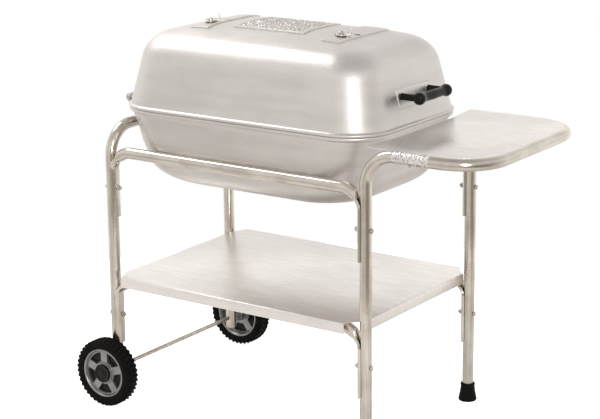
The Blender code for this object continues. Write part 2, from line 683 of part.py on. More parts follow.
def roof_pad(tree, x_range, y_range, steps=(2, 6)):
    """Raised panel that follows the roof."""
    bm = bmesh.new()
    layers = []
    for lift in (PAD_HEIGHT, -0.0015):
        rows = []
        for i in range(steps[0] + 1):
            x = x_range[0] + (x_range[1] - x_range[0]) * i / steps[0]
            rows.append([])
            for j in range(steps[1] + 1):
                y = y_range[0] + (y_range[1] - y_range[0]) * j / steps[1]
                rows[-1].append(bm.verts.new(roof_point(tree, x, y)[0] + Vector((0, 0, lift))))
        layers.append(rows)
    for rows in layers:
        for one, other in zip(rows, rows[1:]):
            for j in range(steps[1]):
                bm.faces.new((one[j], one[j + 1], other[j + 1], other[j]))
    top, bottom = layers
    rim_top, rim_bottom = border(top), border(bottom)
    for i in range(len(rim_top)):
        j = (i + 1) % len(rim_top)
        bm.faces.new((rim_top[i], rim_top[j], rim_bottom[j], rim_bottom[i]))
    return facing_out(bm)


def border(rows):
    """The outer loop of a grid of vertices."""
    last = len(rows) - 1
    return (rows[0] + [row[-1] for row in rows[1:last]] + rows[last][::-1]
            + [row[0] for row in reversed(rows[1:last])])


def make_lid():
    """The upper casting with its flange, hinge ears, roof pads, vents and handle boss."""
    outside = lid_outside()
    mouth = [(FLANGE_X - 0.0105, FLANGE_Y - 0.0105, 0.090, LID_Z)]
    inside = shrunk(outside[4:], WALL, outside[0][3])
    bm = stack(list(reversed(outside)) + mouth + inside)
    hinge = (HINGE_X, 0, HINGE_Z)
    tree = BVHTree.FromBMesh(bm)
    lid = finish("lid", bm, CAST, hinge)
    for side in (-1, 1):
        combine(lid, hinge_ear(side * (HINGE_Y - (LUG_THICK + EAR_THICK) / 2 - 0.001)), "UNION")
    combine(lid, handle_boss(), "UNION")
    for x_range in (DAMPER_PADS["left"], DAMPER_PADS["right"]):
        combine(lid, roof_pad(tree, x_range, PAD_Y), "UNION")
    combine(lid, roof_pad(tree, CENTRE_PAD_X, (-0.072, 0.072)), "UNION")
    for side in (-1, 1):
        y = side * (HINGE_Y - 0.009)
        combine(lid, rod(bmesh.new(), (HINGE_X, y - 0.012, HINGE_Z), (HINGE_X, y + 0.012, HINGE_Z),
                         PIN_R + GAP))
        post_y = side * HANDLE_POST_Y
        combine(lid, rod(bmesh.new(), (0.290, post_y, HANDLE_Z), (0.330, post_y, HANDLE_Z), 0.0028, 8))
    return lid, tree


def end_wall_x(z):
    """The lid's outer face at the end, at a height on its drafted wall."""
    return LID_WALL_X - (z - LID_WALL_Z) * math.tan(LID_DRAFT)


def handle_boss():
    """Upright pad on the end wall that the handle's posts are screwed against."""
    low, high = HANDLE_Z - 0.028, HANDLE_Z + 0.016
    outline = [(end_wall_x(z) + offset, z) for z, offset in
               ((low, -HANDLE_PAD), (low, HANDLE_PAD), (high, HANDLE_PAD), (high, -HANDLE_PAD))]
    return prism(bmesh.new(), outline, -HANDLE_POST_Y - 0.012, HANDLE_POST_Y + 0.012)


def hinge_ear(y):
    """Cast ear that reaches from the lid's end wall to the pin."""
    outline = arc((HINGE_X, HINGE_Z), KNUCKLE_R, 80, 290, 7)
    outline += [(-0.3400, LID_Z + 0.0008), (-0.3260, LID_Z + 0.0008), (-0.3190, 0.7160), (-0.3300, 0.7160)]
    return prism(bmesh.new(), outline, y - EAR_THICK / 2, y + EAR_THICK / 2)


def make_hinge_pins(tub):
    """Loose pins through the lugs and ears, each kept by a ring clip."""
    for label, side in (("front", -1), ("back", 1)):
        centre = (HINGE_X, side * HINGE_Y, HINGE_Z)
        out = LUG_THICK / 2 + GAP
        length = LUG_THICK / 2 + 0.001 + EAR_THICK + 0.007
        pin = [(0, out + 0.003), (0.0055, out + 0.003), (0.0062, out + 0.002), (0.0062, out),
               (PIN_R, out), (PIN_R, -length), (0, -length)]
        finish(f"hinge_pin_{label}", turned(pin, centre, (0, side, 0), 14), STEEL, centre, tub)
        seat = -(LUG_THICK / 2 + 0.001 + EAR_THICK + 0.001)
        clip = [(PIN_R + GAP, seat), (0.0075, seat), (0.0075, seat - 0.002), (PIN_R + GAP, seat - 0.002)]
        finish(f"hinge_clip_{label}", turned(clip, centre, (0, side, 0), 14), STEEL, centre, tub)


def make_handle(lid):
    """Turned grip on two posts that are screwed on from inside the lid."""
    start, end = end_wall_x(HANDLE_Z - POST_R) + HANDLE_PAD + GAP, HANDLE_GRIP_X - 0.0105
    for label, side in (("front", -1), ("back", 1)):
        y = side * HANDLE_POST_Y
        profile = [(0, end - start), (POST_R, end - start), (POST_R, 0), (0.0024, 0), (0.0024, 0.012),
                   (0, 0.012)]
        finish(f"handle_post_{label}", turned(profile, (start, y, HANDLE_Z), (1, 0, 0), 14), HANDLE,
               (start, y, HANDLE_Z), lid)
        head_x = end_wall_x(HANDLE_Z) - WALL - 0.0018
        screw = [(0, -0.003), (0.0050, -0.003), (0.0055, 0), (0.0020, 0), (0.0020, 0.0220), (0, 0.0220)]
        finish(f"handle_screw_{label}", turned(screw, (head_x, y, HANDLE_Z), (1, 0, 0), 10), STEEL,
               (head_x, y, HANDLE_Z), lid)
    half = HANDLE_POST_Y + 0.0115
    bulb = [(0, -half), (0.0075, -half + 0.0015), (0.0122, -half + 0.0060), (0.0132, -half + 0.0115),
            (0.0122, -half + 0.0180), (0.0097, -half + 0.0280)]
    middle = [(0.0106, 0.0)]
    profile = bulb + middle + [(r, -h) for r, h in reversed(bulb)]
    grip = finish("handle_grip", turned(profile, (HANDLE_GRIP_X, 0, HANDLE_Z), (0, 1, 0), 14), HANDLE,
                  (HANDLE_GRIP_X, 0, HANDLE_Z), lid)
    for side in (-1, 1):
        y = side * HANDLE_POST_Y
        combine(grip, rod(bmesh.new(), (HANDLE_GRIP_X - 0.020, y, HANDLE_Z), (end + GAP, y, HANDLE_Z),
                          POST_R + GAP, 14))


def damper(name, bolt_name, centre, normal, parent, low):
    """Flat damper plate that swings on a bolt, `low` above the surface, with an upright tab."""
    centre, normal = Vector(centre), Vector(normal).normalized()
    place = surface_frame(centre, normal)
    outline = arc((0, 0), DAMPER_HUB_R, DAMPER_ANGLE + 85, DAMPER_ANGLE + 275, 5)
    outline += arc(polar(VENT_REACH, DAMPER_ANGLE), DAMPER_END_R, DAMPER_ANGLE - 85,
                   DAMPER_ANGLE + 85, 5)
    bm = bmesh.new()
    rings = [[bm.verts.new((x, y, z)) for x, y in outline] for z in (low, low + DAMPER_T)]
    skin(bm, rings)
    bm.faces.new(rings[0])
    bm.faces.new(list(reversed(rings[1])))
    bmesh.ops.transform(facing_out(bm), matrix=place, verts=bm.verts)
    plate = finish(name, bm, CAST, centre, parent)
    lift = low + 0.0005
    step = lift + DAMPER_T - 0.001
    tab = prism(bmesh.new(), [(0.0070, lift), (TAB_REACH, lift), (TAB_REACH, low + 0.0165),
                              (TAB_REACH - 0.0022, low + 0.0165), (TAB_REACH - 0.0022, step),
                              (0.0070, step)], -0.0055, 0.0055)
    bmesh.ops.transform(tab, matrix=place @ Matrix.Rotation(math.radians(TAB_ANGLE), 4, "Z"),
                        verts=tab.verts)
    combine(plate, tab, "UNION")
    combine(plate, rod(bmesh.new(), centre - normal * 0.01, centre + normal * 0.01, 0.0028, 10))
    top = low + DAMPER_T + GAP
    bolt = [(0, top + 0.0060), (0.0045, top + 0.0050), (0.0062, top + 0.0025), (0.0062, top),
            (0.0025, top), (0.0025, -0.010), (0, -0.010)]
    finish(bolt_name, turned(bolt, centre, normal, 10), STEEL, centre, parent)


def make_lid_dampers(lid, tree):
    """A swinging damper over two vents on each side of the roof."""
    for label, (low, high) in DAMPER_PADS.items():
        point, normal = roof_point(tree, (low + high) / 2, DAMPER_PIVOT_Y)
        seat = point + normal * PAD_HEIGHT
        combine(lid, vents(point, normal))
        damper(f"lid_damper_{label}", f"lid_damper_bolt_{label}", seat, normal, lid, 0.0022)


def make_base_dampers(tub):
    """The same dampers under the tub's flat bottom."""
    for label, side in (("left", -1), ("right", 1)):
        centre = (side * BASE_DAMPER_X, 0, TUB_BOTTOM_Z)
        damper(f"base_damper_{label}", f"base_damper_bolt_{label}", centre, (0, 0, -1), tub, GAP)


def slotted_grate(name, half_x, half_y, corner, z, slots, bar):
    """Flat grate with slots across it, lifted out from its underside."""
    bm = stack([(half_x, half_y, corner, z), (half_x, half_y, corner, z + 0.006)])
    grate = finish(name, bm, GRATE, (0, 0, z))
    cutter = bmesh.new()
    reach = half_x - 0.016
    pitch = 2 * reach / slots
    for k in range(slots):
        low = -reach + k * pitch + bar / 2
        high = low + pitch - bar
        furthest = max(abs(low), abs(high))
        side = half_y - 0.012
        corner_x = half_x - corner
        if furthest > corner_x:
            inner = corner - 0.012
            side = half_y - corner + math.sqrt(max(0.0, inner ** 2 - (furthest - corner_x) ** 2))
        for low_y, high_y in ((-side, -bar / 2), (bar / 2, side)):
            block(cutter, (low, low_y, z - 0.01), (high, high_y, z + 0.02))
    combine(grate, cutter)


# ---------------------------------------------------------------- assembly

make_left_frame()
make_right_frame()
make_rails()
make_bolts()
make_lower_shelf()
make_side_shelf()
make_wheels()
make_feet()
base = make_tub()
make_hinge_pins(base)
make_base_dampers(base)
top, roof = make_lid()
make_handle(top)
make_lid_dampers(top, roof)
slotted_grate("cooking_grate", TUB_WALL_X - 0.0180, TUB_WALL_Y - 0.0078, 0.093, LEDGE_Z + GAP, 21, 0.007)
slotted_grate("charcoal_grate", 0.262, 0.170, 0.090, 0.5410, 15, 0.010)
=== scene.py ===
"""Looks of a cast-aluminium charcoal grill and smoker on a two-wheeled tube cart.

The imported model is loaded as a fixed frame. A smooth, detailed piece stands in for each faceted
node, every surface gets a procedural finish, and a plain pale studio is set round the grill.
Metres, +Z up, +X toward the handle and side shelf, -Y is the front. Pieces are built in cart
coordinates, with x = 0 midway between the legs, and shifted to the frame when they are finished.
"""
from __future__ import annotations

import logging
import math
from collections.abc import Sequence
from dataclasses import dataclass, field
from enum import Enum

import bmesh
import bpy
from mathutils import Matrix, Vector, noise
from mathutils.bvhtree import BVHTree

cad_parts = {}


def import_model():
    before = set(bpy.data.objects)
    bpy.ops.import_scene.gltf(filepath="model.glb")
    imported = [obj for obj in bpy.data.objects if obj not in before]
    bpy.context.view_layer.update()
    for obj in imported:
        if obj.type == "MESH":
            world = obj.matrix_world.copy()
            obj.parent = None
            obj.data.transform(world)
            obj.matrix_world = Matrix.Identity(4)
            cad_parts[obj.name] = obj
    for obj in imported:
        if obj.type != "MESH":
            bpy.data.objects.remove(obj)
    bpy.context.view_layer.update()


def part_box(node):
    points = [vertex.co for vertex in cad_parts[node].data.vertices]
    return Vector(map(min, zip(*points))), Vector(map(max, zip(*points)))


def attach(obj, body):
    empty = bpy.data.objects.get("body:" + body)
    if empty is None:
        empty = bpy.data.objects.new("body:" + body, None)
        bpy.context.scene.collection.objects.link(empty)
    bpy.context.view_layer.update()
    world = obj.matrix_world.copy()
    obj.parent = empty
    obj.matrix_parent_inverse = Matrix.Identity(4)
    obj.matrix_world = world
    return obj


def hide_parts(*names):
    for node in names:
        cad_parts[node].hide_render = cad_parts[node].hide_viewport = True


LOG = logging.getLogger("grill")
Outline = list[tuple[float, float]]
Ring = list[Vector]
Input = float | tuple[float, ...] | bpy.types.NodeSocket

SIDES = (("front", -1), ("back", 1))
ENDS = (("left", -1), ("right", 1))


class Slot(Enum):
    """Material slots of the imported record."""

    CAST = "cast_aluminium"
    TUBE = "polished_tube"
    SHEET = "embossed_sheet"
    RUBBER = "black_rubber"
    TYRE = "tyre_rubber"
    HUB = "grey_hub"
    CAP = "black_cap"
    HANDLE = "black_handle"
    STEEL = "zinc_steel"
    GRATE = "grate_steel"


class Body(Enum):
    """Bodies of the frame that pieces ride on."""

    CART = "cart"
    CAPSULE = "capsule"
    LID = "lid"
    COOKING = "cooking_grate"
    CHARCOAL = "charcoal_grate"


# ---------------------------------------------------------------- node trees

class Graph:
    """Adds nodes to one node tree and links them."""

    def __init__(self, tree: bpy.types.NodeTree) -> None:
        """Starts with the tree's own nodes.

        Args:
            tree: The material's, world's or group's tree.
        """
        self.tree = tree

    def add(self, kind: str, inputs: dict[str | int, Input] | None = None, **options) -> bpy.types.Node:
        """Adds a node, sets its options and fills its inputs.

        Args:
            kind: The node's type name without the "ShaderNode" or "Node" prefix.
            inputs: Values or other nodes' outputs by input name or number.
            options: Attributes of the node, such as operation.

        Returns:
            The new node.
        """
        prefix = "Node" if kind.startswith("Group") and kind != "Group" else "ShaderNode"
        node = self.tree.nodes.new(prefix + kind)
        for key, value in options.items():
            setattr(node, key, value)
        for key, value in (inputs or {}).items():
            self.feed(node.inputs[key], value)
        return node

    def feed(self, socket: bpy.types.NodeSocket, value: Input) -> None:
        """Links an output to the socket, or sets the socket's own value."""
        if isinstance(value, bpy.types.NodeSocket):
            self.tree.links.new(value, socket)
        else:
            socket.default_value = value

    def math(self, operation: str, one: Input, other: Input = 0.0) -> bpy.types.NodeSocket:
        """Output of a Math node on two inputs."""
        return self.add("Math", {0: one, 1: other}, operation=operation).outputs[0]

    def spread(self, value: Input, low: float, high: float, out_low: float, out_high: float
               ) -> bpy.types.NodeSocket:
        """Maps a range smoothly to another, clamped at both ends."""
        inputs = {"Value": value, "From Min": low, "From Max": high, "To Min": out_low,
                  "To Max": out_high}
        return self.add("MapRange", inputs, interpolation_type="SMOOTHSTEP").outputs["Result"]

    def blend(self, share: Input, one: Input, other: Input) -> bpy.types.NodeSocket:
        """Mix of two colours."""
        node = self.add("Mix", data_type="RGBA")
        for index, value in ((0, share), (6, one), (7, other)):
            self.feed(node.inputs[index], value)
        return node.outputs[2]


@dataclass(frozen=True)
class Effect:
    """A node group that several finishes share, built on first use."""

    name: str
    inputs: tuple[tuple[str, str, float], ...]
    outputs: tuple[str, ...]

    def group(self) -> bpy.types.NodeTree:
        """The group's tree, made once."""
        found = bpy.data.node_groups.get(self.name)
        if found:
            return found
        tree = bpy.data.node_groups.new(self.name, "ShaderNodeTree")
        tree.interface.new_socket("Vector", in_out="INPUT", socket_type="NodeSocketVector")
        for label, kind, default in self.inputs:
            socket = tree.interface.new_socket(label, in_out="INPUT", socket_type=kind)
            socket.default_value = default
        for label in self.outputs:
            tree.interface.new_socket(label, in_out="OUTPUT", socket_type="NodeSocketFloat")
        graph = Graph(tree)
        source = graph.add("GroupInput").outputs
        target = graph.add("GroupOutput")
        for label, value in self.wire(graph, source).items():
            graph.feed(target.inputs[label], value)
        return tree

    def wire(self, graph: Graph, source: bpy.types.NodeOutputs) -> dict[str, bpy.types.NodeSocket]:
        """Builds the inside of the group.

        Args:
            graph: The group's graph.
            source: The group's own inputs.

        Returns:
            A socket for each output by name.
        """
        raise NotImplementedError

    def place(self, graph: Graph, inputs: dict[str, Input]) -> bpy.types.NodeOutputs:
        """Puts the group into a material and returns its outputs."""
        node = graph.add("Group")
        node.node_tree = self.group()
        for key, value in inputs.items():
            graph.feed(node.inputs[key], value)
        return node.outputs


FLOAT = "NodeSocketFloat"


@dataclass(frozen=True)
class Mottle(Effect):
    """Soft patches with a finer speckle in them: handling marks, oxide and casting skin."""

    name: str = "mottle"
    inputs: tuple = (("Scale", FLOAT, 12.0), ("Speckle", FLOAT, 400.0), ("Speckle Share", FLOAT, 0.3))
    outputs: tuple = ("Tone",)

    def wire(self, graph: Graph, source: bpy.types.NodeOutputs) -> dict[str, bpy.types.NodeSocket]:
        """Two noises of very different sizes, added by share."""
        patches = graph.add("TexNoise", {"Vector": source["Vector"], "Scale": source["Scale"],
                                         "Detail": 4.0, "Roughness": 0.55})
        speckle = graph.add("TexNoise", {"Vector": source["Vector"], "Scale": source["Speckle"],
                                         "Detail": 2.0, "Roughness": 0.6})
        fine = graph.math("MULTIPLY", speckle.outputs[0], source["Speckle Share"])
        rest = graph.math("SUBTRACT", 1.0, source["Speckle Share"])
        coarse = graph.math("MULTIPLY", patches.outputs[0], rest)
        return {"Tone": graph.spread(graph.math("ADD", coarse, fine), 0.32, 0.68, 0.0, 1.0)}


@dataclass(frozen=True)
class Grain(Effect):
    """Fine lines drawn out along one direction, as brushing, polishing or rolling leaves."""

    name: str = "drawn_grain"
    inputs: tuple = (("Across", FLOAT, 900.0), ("Along", FLOAT, 12.0))
    outputs: tuple = ("Height", "Streak")

    def wire(self, graph: Graph, source: bpy.types.NodeOutputs) -> dict[str, bpy.types.NodeSocket]:
        """Noise squeezed across the Z direction of the coordinates."""
        stretch = graph.add("CombineXYZ", {0: source["Along"], 1: source["Along"], 2: source["Across"]})
        place = graph.add("VectorMath", {0: source["Vector"], 1: stretch.outputs[0]},
                          operation="MULTIPLY").outputs[0]
        lines = graph.add("TexNoise", {"Vector": place, "Scale": 1.0, "Detail": 3.0})
        wide = graph.add("VectorMath", {0: place, 1: (0.6, 0.6, 0.09)}, operation="MULTIPLY").outputs[0]
        bands = graph.add("TexNoise", {"Vector": wide, "Scale": 1.0, "Detail": 2.0})
        return {"Height": lines.outputs[0], "Streak": graph.spread(bands.outputs[0], 0.35, 0.65, 0, 1)}


@dataclass(frozen=True)
class Pebble(Effect):
    """Rounded bumps with worn tops: embossed sheet, cast skin, moulded rubber."""

    name: str = "pebble"
    inputs: tuple = (("Scale", FLOAT, 220.0), ("Wander", FLOAT, 0.004))
    outputs: tuple = ("Height", "Valley")

    def wire(self, graph: Graph, source: bpy.types.NodeOutputs) -> dict[str, bpy.types.NodeSocket]:
        """Smooth cells, pushed about by noise so that no rows show."""
        push = graph.add("TexNoise", {"Vector": source["Vector"], "Scale": 90.0, "Detail": 2.0})
        centred = graph.add("VectorMath", {0: push.outputs["Color"], 1: (0.5, 0.5, 0.5)},
                            operation="SUBTRACT").outputs[0]
        moved = graph.add("VectorMath", {0: centred, "Scale": source["Wander"]}, operation="SCALE")
        place = graph.add("VectorMath", {0: source["Vector"], 1: moved.outputs[0]}, operation="ADD")
        cells = graph.add("TexVoronoi", {"Vector": place.outputs[0], "Scale": source["Scale"],
                                         "Smoothness": 0.7}, feature="SMOOTH_F1")
        height = graph.spread(cells.outputs["Distance"], 0.05, 0.75, 1.0, 0.0)
        return {"Height": height, "Valley": graph.spread(cells.outputs["Distance"], 0.45, 0.8, 0.0, 1.0)}


@dataclass(frozen=True)
class Settled(Effect):
    """Where dust and dullness settle: faces that look up, broken by patches."""

    name: str = "settled_dust"
    inputs: tuple = (("Scale", FLOAT, 30.0), ("Lean", FLOAT, 0.5))
    outputs: tuple = ("Mask",)

    def wire(self, graph: Graph, source: bpy.types.NodeOutputs) -> dict[str, bpy.types.NodeSocket]:
        """The normal's upward share times a noise."""
        normal = graph.add("NewGeometry").outputs["Normal"]
        upward = graph.add("SeparateXYZ", {0: normal}).outputs[2]
        facing = graph.spread(upward, source["Lean"], 1.0, 0.0, 1.0)
        patches = graph.add("TexNoise", {"Vector": source["Vector"], "Scale": source["Scale"],
                                         "Detail": 4.0})
        return {"Mask": graph.math("MULTIPLY", facing, patches.outputs[0])}


MOTTLE, GRAIN, PEBBLE, SETTLED = Mottle(), Grain(), Pebble(), Settled()


# ---------------------------------------------------------------- finishes

@dataclass(frozen=True)
class Finish:
    """Plain numbers of a material, and the graph that varies them over the surface."""

    slot: Slot
    dark: tuple[float, float, float]
    light: tuple[float, float, float]
    rough: tuple[float, float]
    metallic: float = 0.0
    specular: float = 0.5
    label: str = ""

    def build(self) -> bpy.types.Material:
        """Makes the material with its Principled shader and dresses it."""
        material = bpy.data.materials.new(self.name())
        material.use_nodes = True
        graph = Graph(material.node_tree)
        shader = material.node_tree.nodes["Principled BSDF"]
        shader.inputs["Metallic"].default_value = self.metallic
        shader.inputs["Specular IOR Level"].default_value = self.specular
        material.diffuse_color = (*self.light, 1.0)
        self.dress(graph, shader, graph.add("TexCoord").outputs)
        return material

    def name(self) -> str:
        """The material's name."""
        return self.slot.value + "_finish" + self.label

    def dress(self, graph: Graph, shader: bpy.types.Node, place: bpy.types.NodeOutputs) -> None:
        """Feeds colour, roughness and normal.

        Args:
            graph: The material's graph.
            shader: Its Principled shader.
            place: Outputs of the texture coordinate node.
        """
        raise NotImplementedError

    def colour(self, graph: Graph, shader: bpy.types.Node, share: bpy.types.NodeSocket) -> None:
        """Feeds the base colour with a mix of the dark and the light tone."""
        graph.feed(shader.inputs["Base Color"], graph.blend(share, (*self.dark, 1.0), (*self.light, 1.0)))

    def relief(self, graph: Graph, shader: bpy.types.Node, layers: Sequence[tuple[Input, float]]) -> None:
        """Feeds the normal with bumps laid one on the other.

        Args:
            graph: The material's graph.
            shader: Its Principled shader.
            layers: Pairs of a height output and its depth in metres.
        """
        normal = None
        for height, depth in layers:
            bump = graph.add("Bump", {"Height": height, "Distance": depth, "Strength": 1.0})
            if normal is not None:
                graph.feed(bump.inputs["Normal"], normal)
            normal = bump.outputs[0]
        graph.feed(shader.inputs["Normal"], normal)


@dataclass(frozen=True)
class CastFinish(Finish):
    """Satin cast aluminium: blasted skin with faint level polishing lines round the walls."""

    def dress(self, graph: Graph, shader: bpy.types.Node, place: bpy.types.NodeOutputs) -> None:
        """Mottled tone, level streaks, pebbled skin and brighter worn edges."""
        tone = MOTTLE.place(graph, {"Vector": place["Object"], "Scale": 7.0, "Speckle": 260.0,
                                    "Speckle Share": 0.25})["Tone"]
        grain = GRAIN.place(graph, {"Vector": place["Object"], "Across": 520.0, "Along": 9.0})
        skin = PEBBLE.place(graph, {"Vector": place["Object"], "Scale": 620.0, "Wander": 0.003})
        edge = graph.spread(graph.add("NewGeometry").outputs["Pointiness"], 0.52, 0.60, 0.0, 0.6)
        mixed = graph.math("ADD", graph.math("MULTIPLY", tone, 0.55),
                           graph.math("MULTIPLY", grain["Streak"], 0.35))
        self.colour(graph, shader, graph.math("ADD", mixed, edge))
        rough = graph.spread(graph.math("SUBTRACT", mixed, edge), -0.3, 0.95, *self.rough)
        graph.feed(shader.inputs["Roughness"], rough)
        self.relief(graph, shader, ((grain["Height"], 0.00003), (skin["Height"], 0.00006), (tone, 0.00010)))


@dataclass(frozen=True)
class TubeFinish(Finish):
    """Polished tube with fine lines along its length and darker handled stretches."""

    def dress(self, graph: Graph, shader: bpy.types.Node, place: bpy.types.NodeOutputs) -> None:
        """Streaks that run along the tube's unrolled surface."""
        unrolled = graph.add("SeparateXYZ", {0: place["UV"]}).outputs
        turned = graph.add("CombineXYZ", {0: unrolled[1], 1: 0.0, 2: unrolled[0]}).outputs[0]
        grain = GRAIN.place(graph, {"Vector": turned, "Across": 2600.0, "Along": 14.0})
        tone = MOTTLE.place(graph, {"Vector": place["Object"], "Scale": 16.0, "Speckle": 500.0,
                                    "Speckle Share": 0.15})["Tone"]
        mixed = graph.math("ADD", graph.math("MULTIPLY", tone, 0.6),
                           graph.math("MULTIPLY", grain["Streak"], 0.4))
        self.colour(graph, shader, mixed)
        graph.feed(shader.inputs["Roughness"], graph.spread(mixed, 0.0, 1.0, self.rough[1], self.rough[0]))
        self.relief(graph, shader, ((grain["Height"], 0.000012), (tone, 0.00006)))


@dataclass(frozen=True)
class SheetFinish(Finish):
    """Stucco-embossed sheet whose bump valleys are painted darker as shade, so the tops read bright."""

    scale: float = 270.0
    depth: float = 0.00009
    shade_share: float = 0.2

    def dress(self, graph: Graph, shader: bpy.types.Node, place: bpy.types.NodeOutputs) -> None:
        """Two sizes of embossing, valleys painted darker as shade and made rougher, and a faint rolled grain.
        """
        coarse = PEBBLE.place(graph, {"Vector": place["Object"], "Scale": self.scale, "Wander": 0.006})
        fine = PEBBLE.place(graph, {"Vector": place["Object"], "Scale": 2.2 * self.scale, "Wander": 0.003})
        rolled = graph.add("VectorRotate", {0: place["Object"], "Angle": math.pi / 2},
                           rotation_type="X_AXIS").outputs[0]
        grain = GRAIN.place(graph, {"Vector": rolled, "Across": 1500.0, "Along": 30.0})
        tone = MOTTLE.place(graph, {"Vector": place["Object"], "Scale": 5.0, "Speckle": 300.0,
                                    "Speckle Share": 0.3})["Tone"]
        # Painted shade: the colour darkens in the valleys between the bumps.
        valley_shade = graph.math("MULTIPLY", coarse["Valley"], self.shade_share)
        streaked = graph.math("ADD", graph.math("MULTIPLY", tone, 0.6),
                              graph.math("MULTIPLY", grain["Streak"], 0.4))
        share = graph.math("SUBTRACT", graph.spread(streaked, 0.0, 1.0, 0.5, 1.0), valley_shade)
        self.colour(graph, shader, share)
        graph.feed(shader.inputs["Roughness"], graph.spread(share, 0.0, 1.0, self.rough[1], self.rough[0]))
        self.relief(graph, shader, ((coarse["Height"], self.depth), (fine["Height"], 0.3 * self.depth),
                                    (grain["Height"], 0.00003)))


@dataclass(frozen=True)
class MouldedFinish(Finish):
    """Moulded rubber or plastic with a fine skin and dust on what faces up."""

    pebble_scale: float = 900.0
    pebble_depth: float = 0.00004
    dust: float = 0.3

    def dress(self, graph: Graph, shader: bpy.types.Node, place: bpy.types.NodeOutputs) -> None:
        """Mottled tone, fine pebbled skin and settled dust."""
        tone = MOTTLE.place(graph, {"Vector": place["Object"], "Scale": 25.0, "Speckle": 700.0,
                                    "Speckle Share": 0.35})["Tone"]
        skin = PEBBLE.place(graph, {"Vector": place["Object"], "Scale": self.pebble_scale,
                                    "Wander": 0.002})
        settled = SETTLED.place(graph, {"Vector": place["Object"], "Scale": 60.0, "Lean": 0.3})["Mask"]
        share = graph.math("ADD", graph.math("MULTIPLY", tone, 0.6),
                           graph.math("MULTIPLY", settled, self.dust))
        self.colour(graph, shader, share)
        graph.feed(shader.inputs["Roughness"], graph.spread(share, 0.0, 1.0, *self.rough))
        self.relief(graph, shader, ((skin["Height"], self.pebble_depth), (tone, 0.00004)))


@dataclass(frozen=True)
class SteelFinish(Finish):
    """Plated or worn steel: turned lines and mottled stains."""

    stain_scale: float = 90.0

    def dress(self, graph: Graph, shader: bpy.types.Node, place: bpy.types.NodeOutputs) -> None:
        """Mottled stains over fine grain."""
        tone = MOTTLE.place(graph, {"Vector": place["Object"], "Scale": self.stain_scale,
                                    "Speckle": 1500.0, "Speckle Share": 0.4})["Tone"]
        grain = GRAIN.place(graph, {"Vector": place["Object"], "Across": 3000.0, "Along": 200.0})
        self.colour(graph, shader, tone)
        graph.feed(shader.inputs["Roughness"], graph.spread(tone, 0.0, 1.0, self.rough[1], self.rough[0]))
        self.relief(graph, shader, ((grain["Height"], 0.00001), (tone, 0.00003)))


HAMMERED = "_hammered"

FINISHES: tuple[Finish, ...] = (
    CastFinish(Slot.CAST, (0.61, 0.585, 0.565), (0.73, 0.705, 0.685), (0.37, 0.46), 1.0),
    TubeFinish(Slot.TUBE, (0.50, 0.455, 0.395), (0.74, 0.70, 0.645), (0.11, 0.20), 1.0),
    # Both sheet finishes paint their bump valleys darker as shade; the hammered one strongly (0.8).
    SheetFinish(Slot.SHEET, (0.72, 0.695, 0.675), (0.90, 0.87, 0.845), (0.30, 0.40), 1.0),
    SheetFinish(Slot.SHEET, (0.50, 0.48, 0.46), (0.90, 0.88, 0.86), (0.22, 0.34), 1.0, 0.5, HAMMERED,
                200.0, 0.0009, 0.8),
    MouldedFinish(Slot.RUBBER, (0.004, 0.004, 0.004), (0.012, 0.011, 0.010), (0.45, 0.65), 0.0, 0.07),
    MouldedFinish(Slot.TYRE, (0.003, 0.003, 0.003), (0.011, 0.010, 0.009), (0.50, 0.75), 0.0, 0.06, "",
                  700.0, 0.00008, 0.4),
    MouldedFinish(Slot.HUB, (0.26, 0.26, 0.265), (0.42, 0.42, 0.425), (0.24, 0.38), 0.8, 0.5, "",
                  1100.0, 0.00005, 0.15),
    MouldedFinish(Slot.CAP, (0.003, 0.003, 0.003), (0.009, 0.009, 0.009), (0.20, 0.34), 0.0, 0.2, "",
                  1300.0, 0.00001, 0.2),
    MouldedFinish(Slot.HANDLE, (0.004, 0.0036, 0.003), (0.014, 0.012, 0.009), (0.20, 0.32), 0.0, 0.15, "",
                  1000.0, 0.00002, 0.25),
    SteelFinish(Slot.STEEL, (0.40, 0.37, 0.32), (0.68, 0.65, 0.60), (0.22, 0.36), 1.0),
    SteelFinish(Slot.GRATE, (0.16, 0.155, 0.15), (0.40, 0.39, 0.38), (0.32, 0.52), 1.0, 0.5, "", 60.0),
)


# ---------------------------------------------------------------- outlines and paths

def polar(reach: float, degrees: float) -> tuple[float, float]:
    """Point at a distance and an angle from the origin."""
    return (reach * math.cos(math.radians(degrees)), reach * math.sin(math.radians(degrees)))


def arc(centre: tuple[float, float], radius: float, start: float, end: float, segments: int) -> Outline:
    """Points of a circle arc, both ends included; angles in degrees."""
    turns = [start + (end - start) * i / segments for i in range(segments + 1)]
    return [(centre[0] + polar(radius, t)[0], centre[1] + polar(radius, t)[1]) for t in turns]


def bent_path(corners: Sequence[Sequence[float]], bends: Sequence[float], segments: int = 16) -> Ring:
    """Centre line through corner points, each inner corner rounded to its bend radius.

    Args:
        corners: The points where the straight runs would meet.
        bends: One bend radius for each inner corner.
        segments: Steps in each bend.

    Returns:
        The points of the centre line.
    """
    points = [Vector(c) for c in corners]
    path = [points[0]]
    for before, corner, after, radius in zip(points, points[1:], points[2:], bends):
        back, ahead = (before - corner).normalized(), (after - corner).normalized()
        half = back.angle(ahead) / 2
        centre = corner + (back + ahead).normalized() * radius / math.sin(half)
        start = corner + back * radius / math.tan(half) - centre
        axis = start.cross(corner + ahead * radius / math.tan(half) - centre)
        turn = math.pi - 2 * half
        path += [centre + Matrix.Rotation(turn * i / segments, 3, axis) @ start
                 for i in range(segments + 1)]
    return path + [points[-1]]


def tangents(path: Ring) -> Ring:
    """Unit direction of the path at each of its points."""
    steps = [(b - a).normalized() for a, b in zip(path, path[1:])]
    return [steps[0], *((a + b).normalized() for a, b in zip(steps, steps[1:])), steps[-1]]


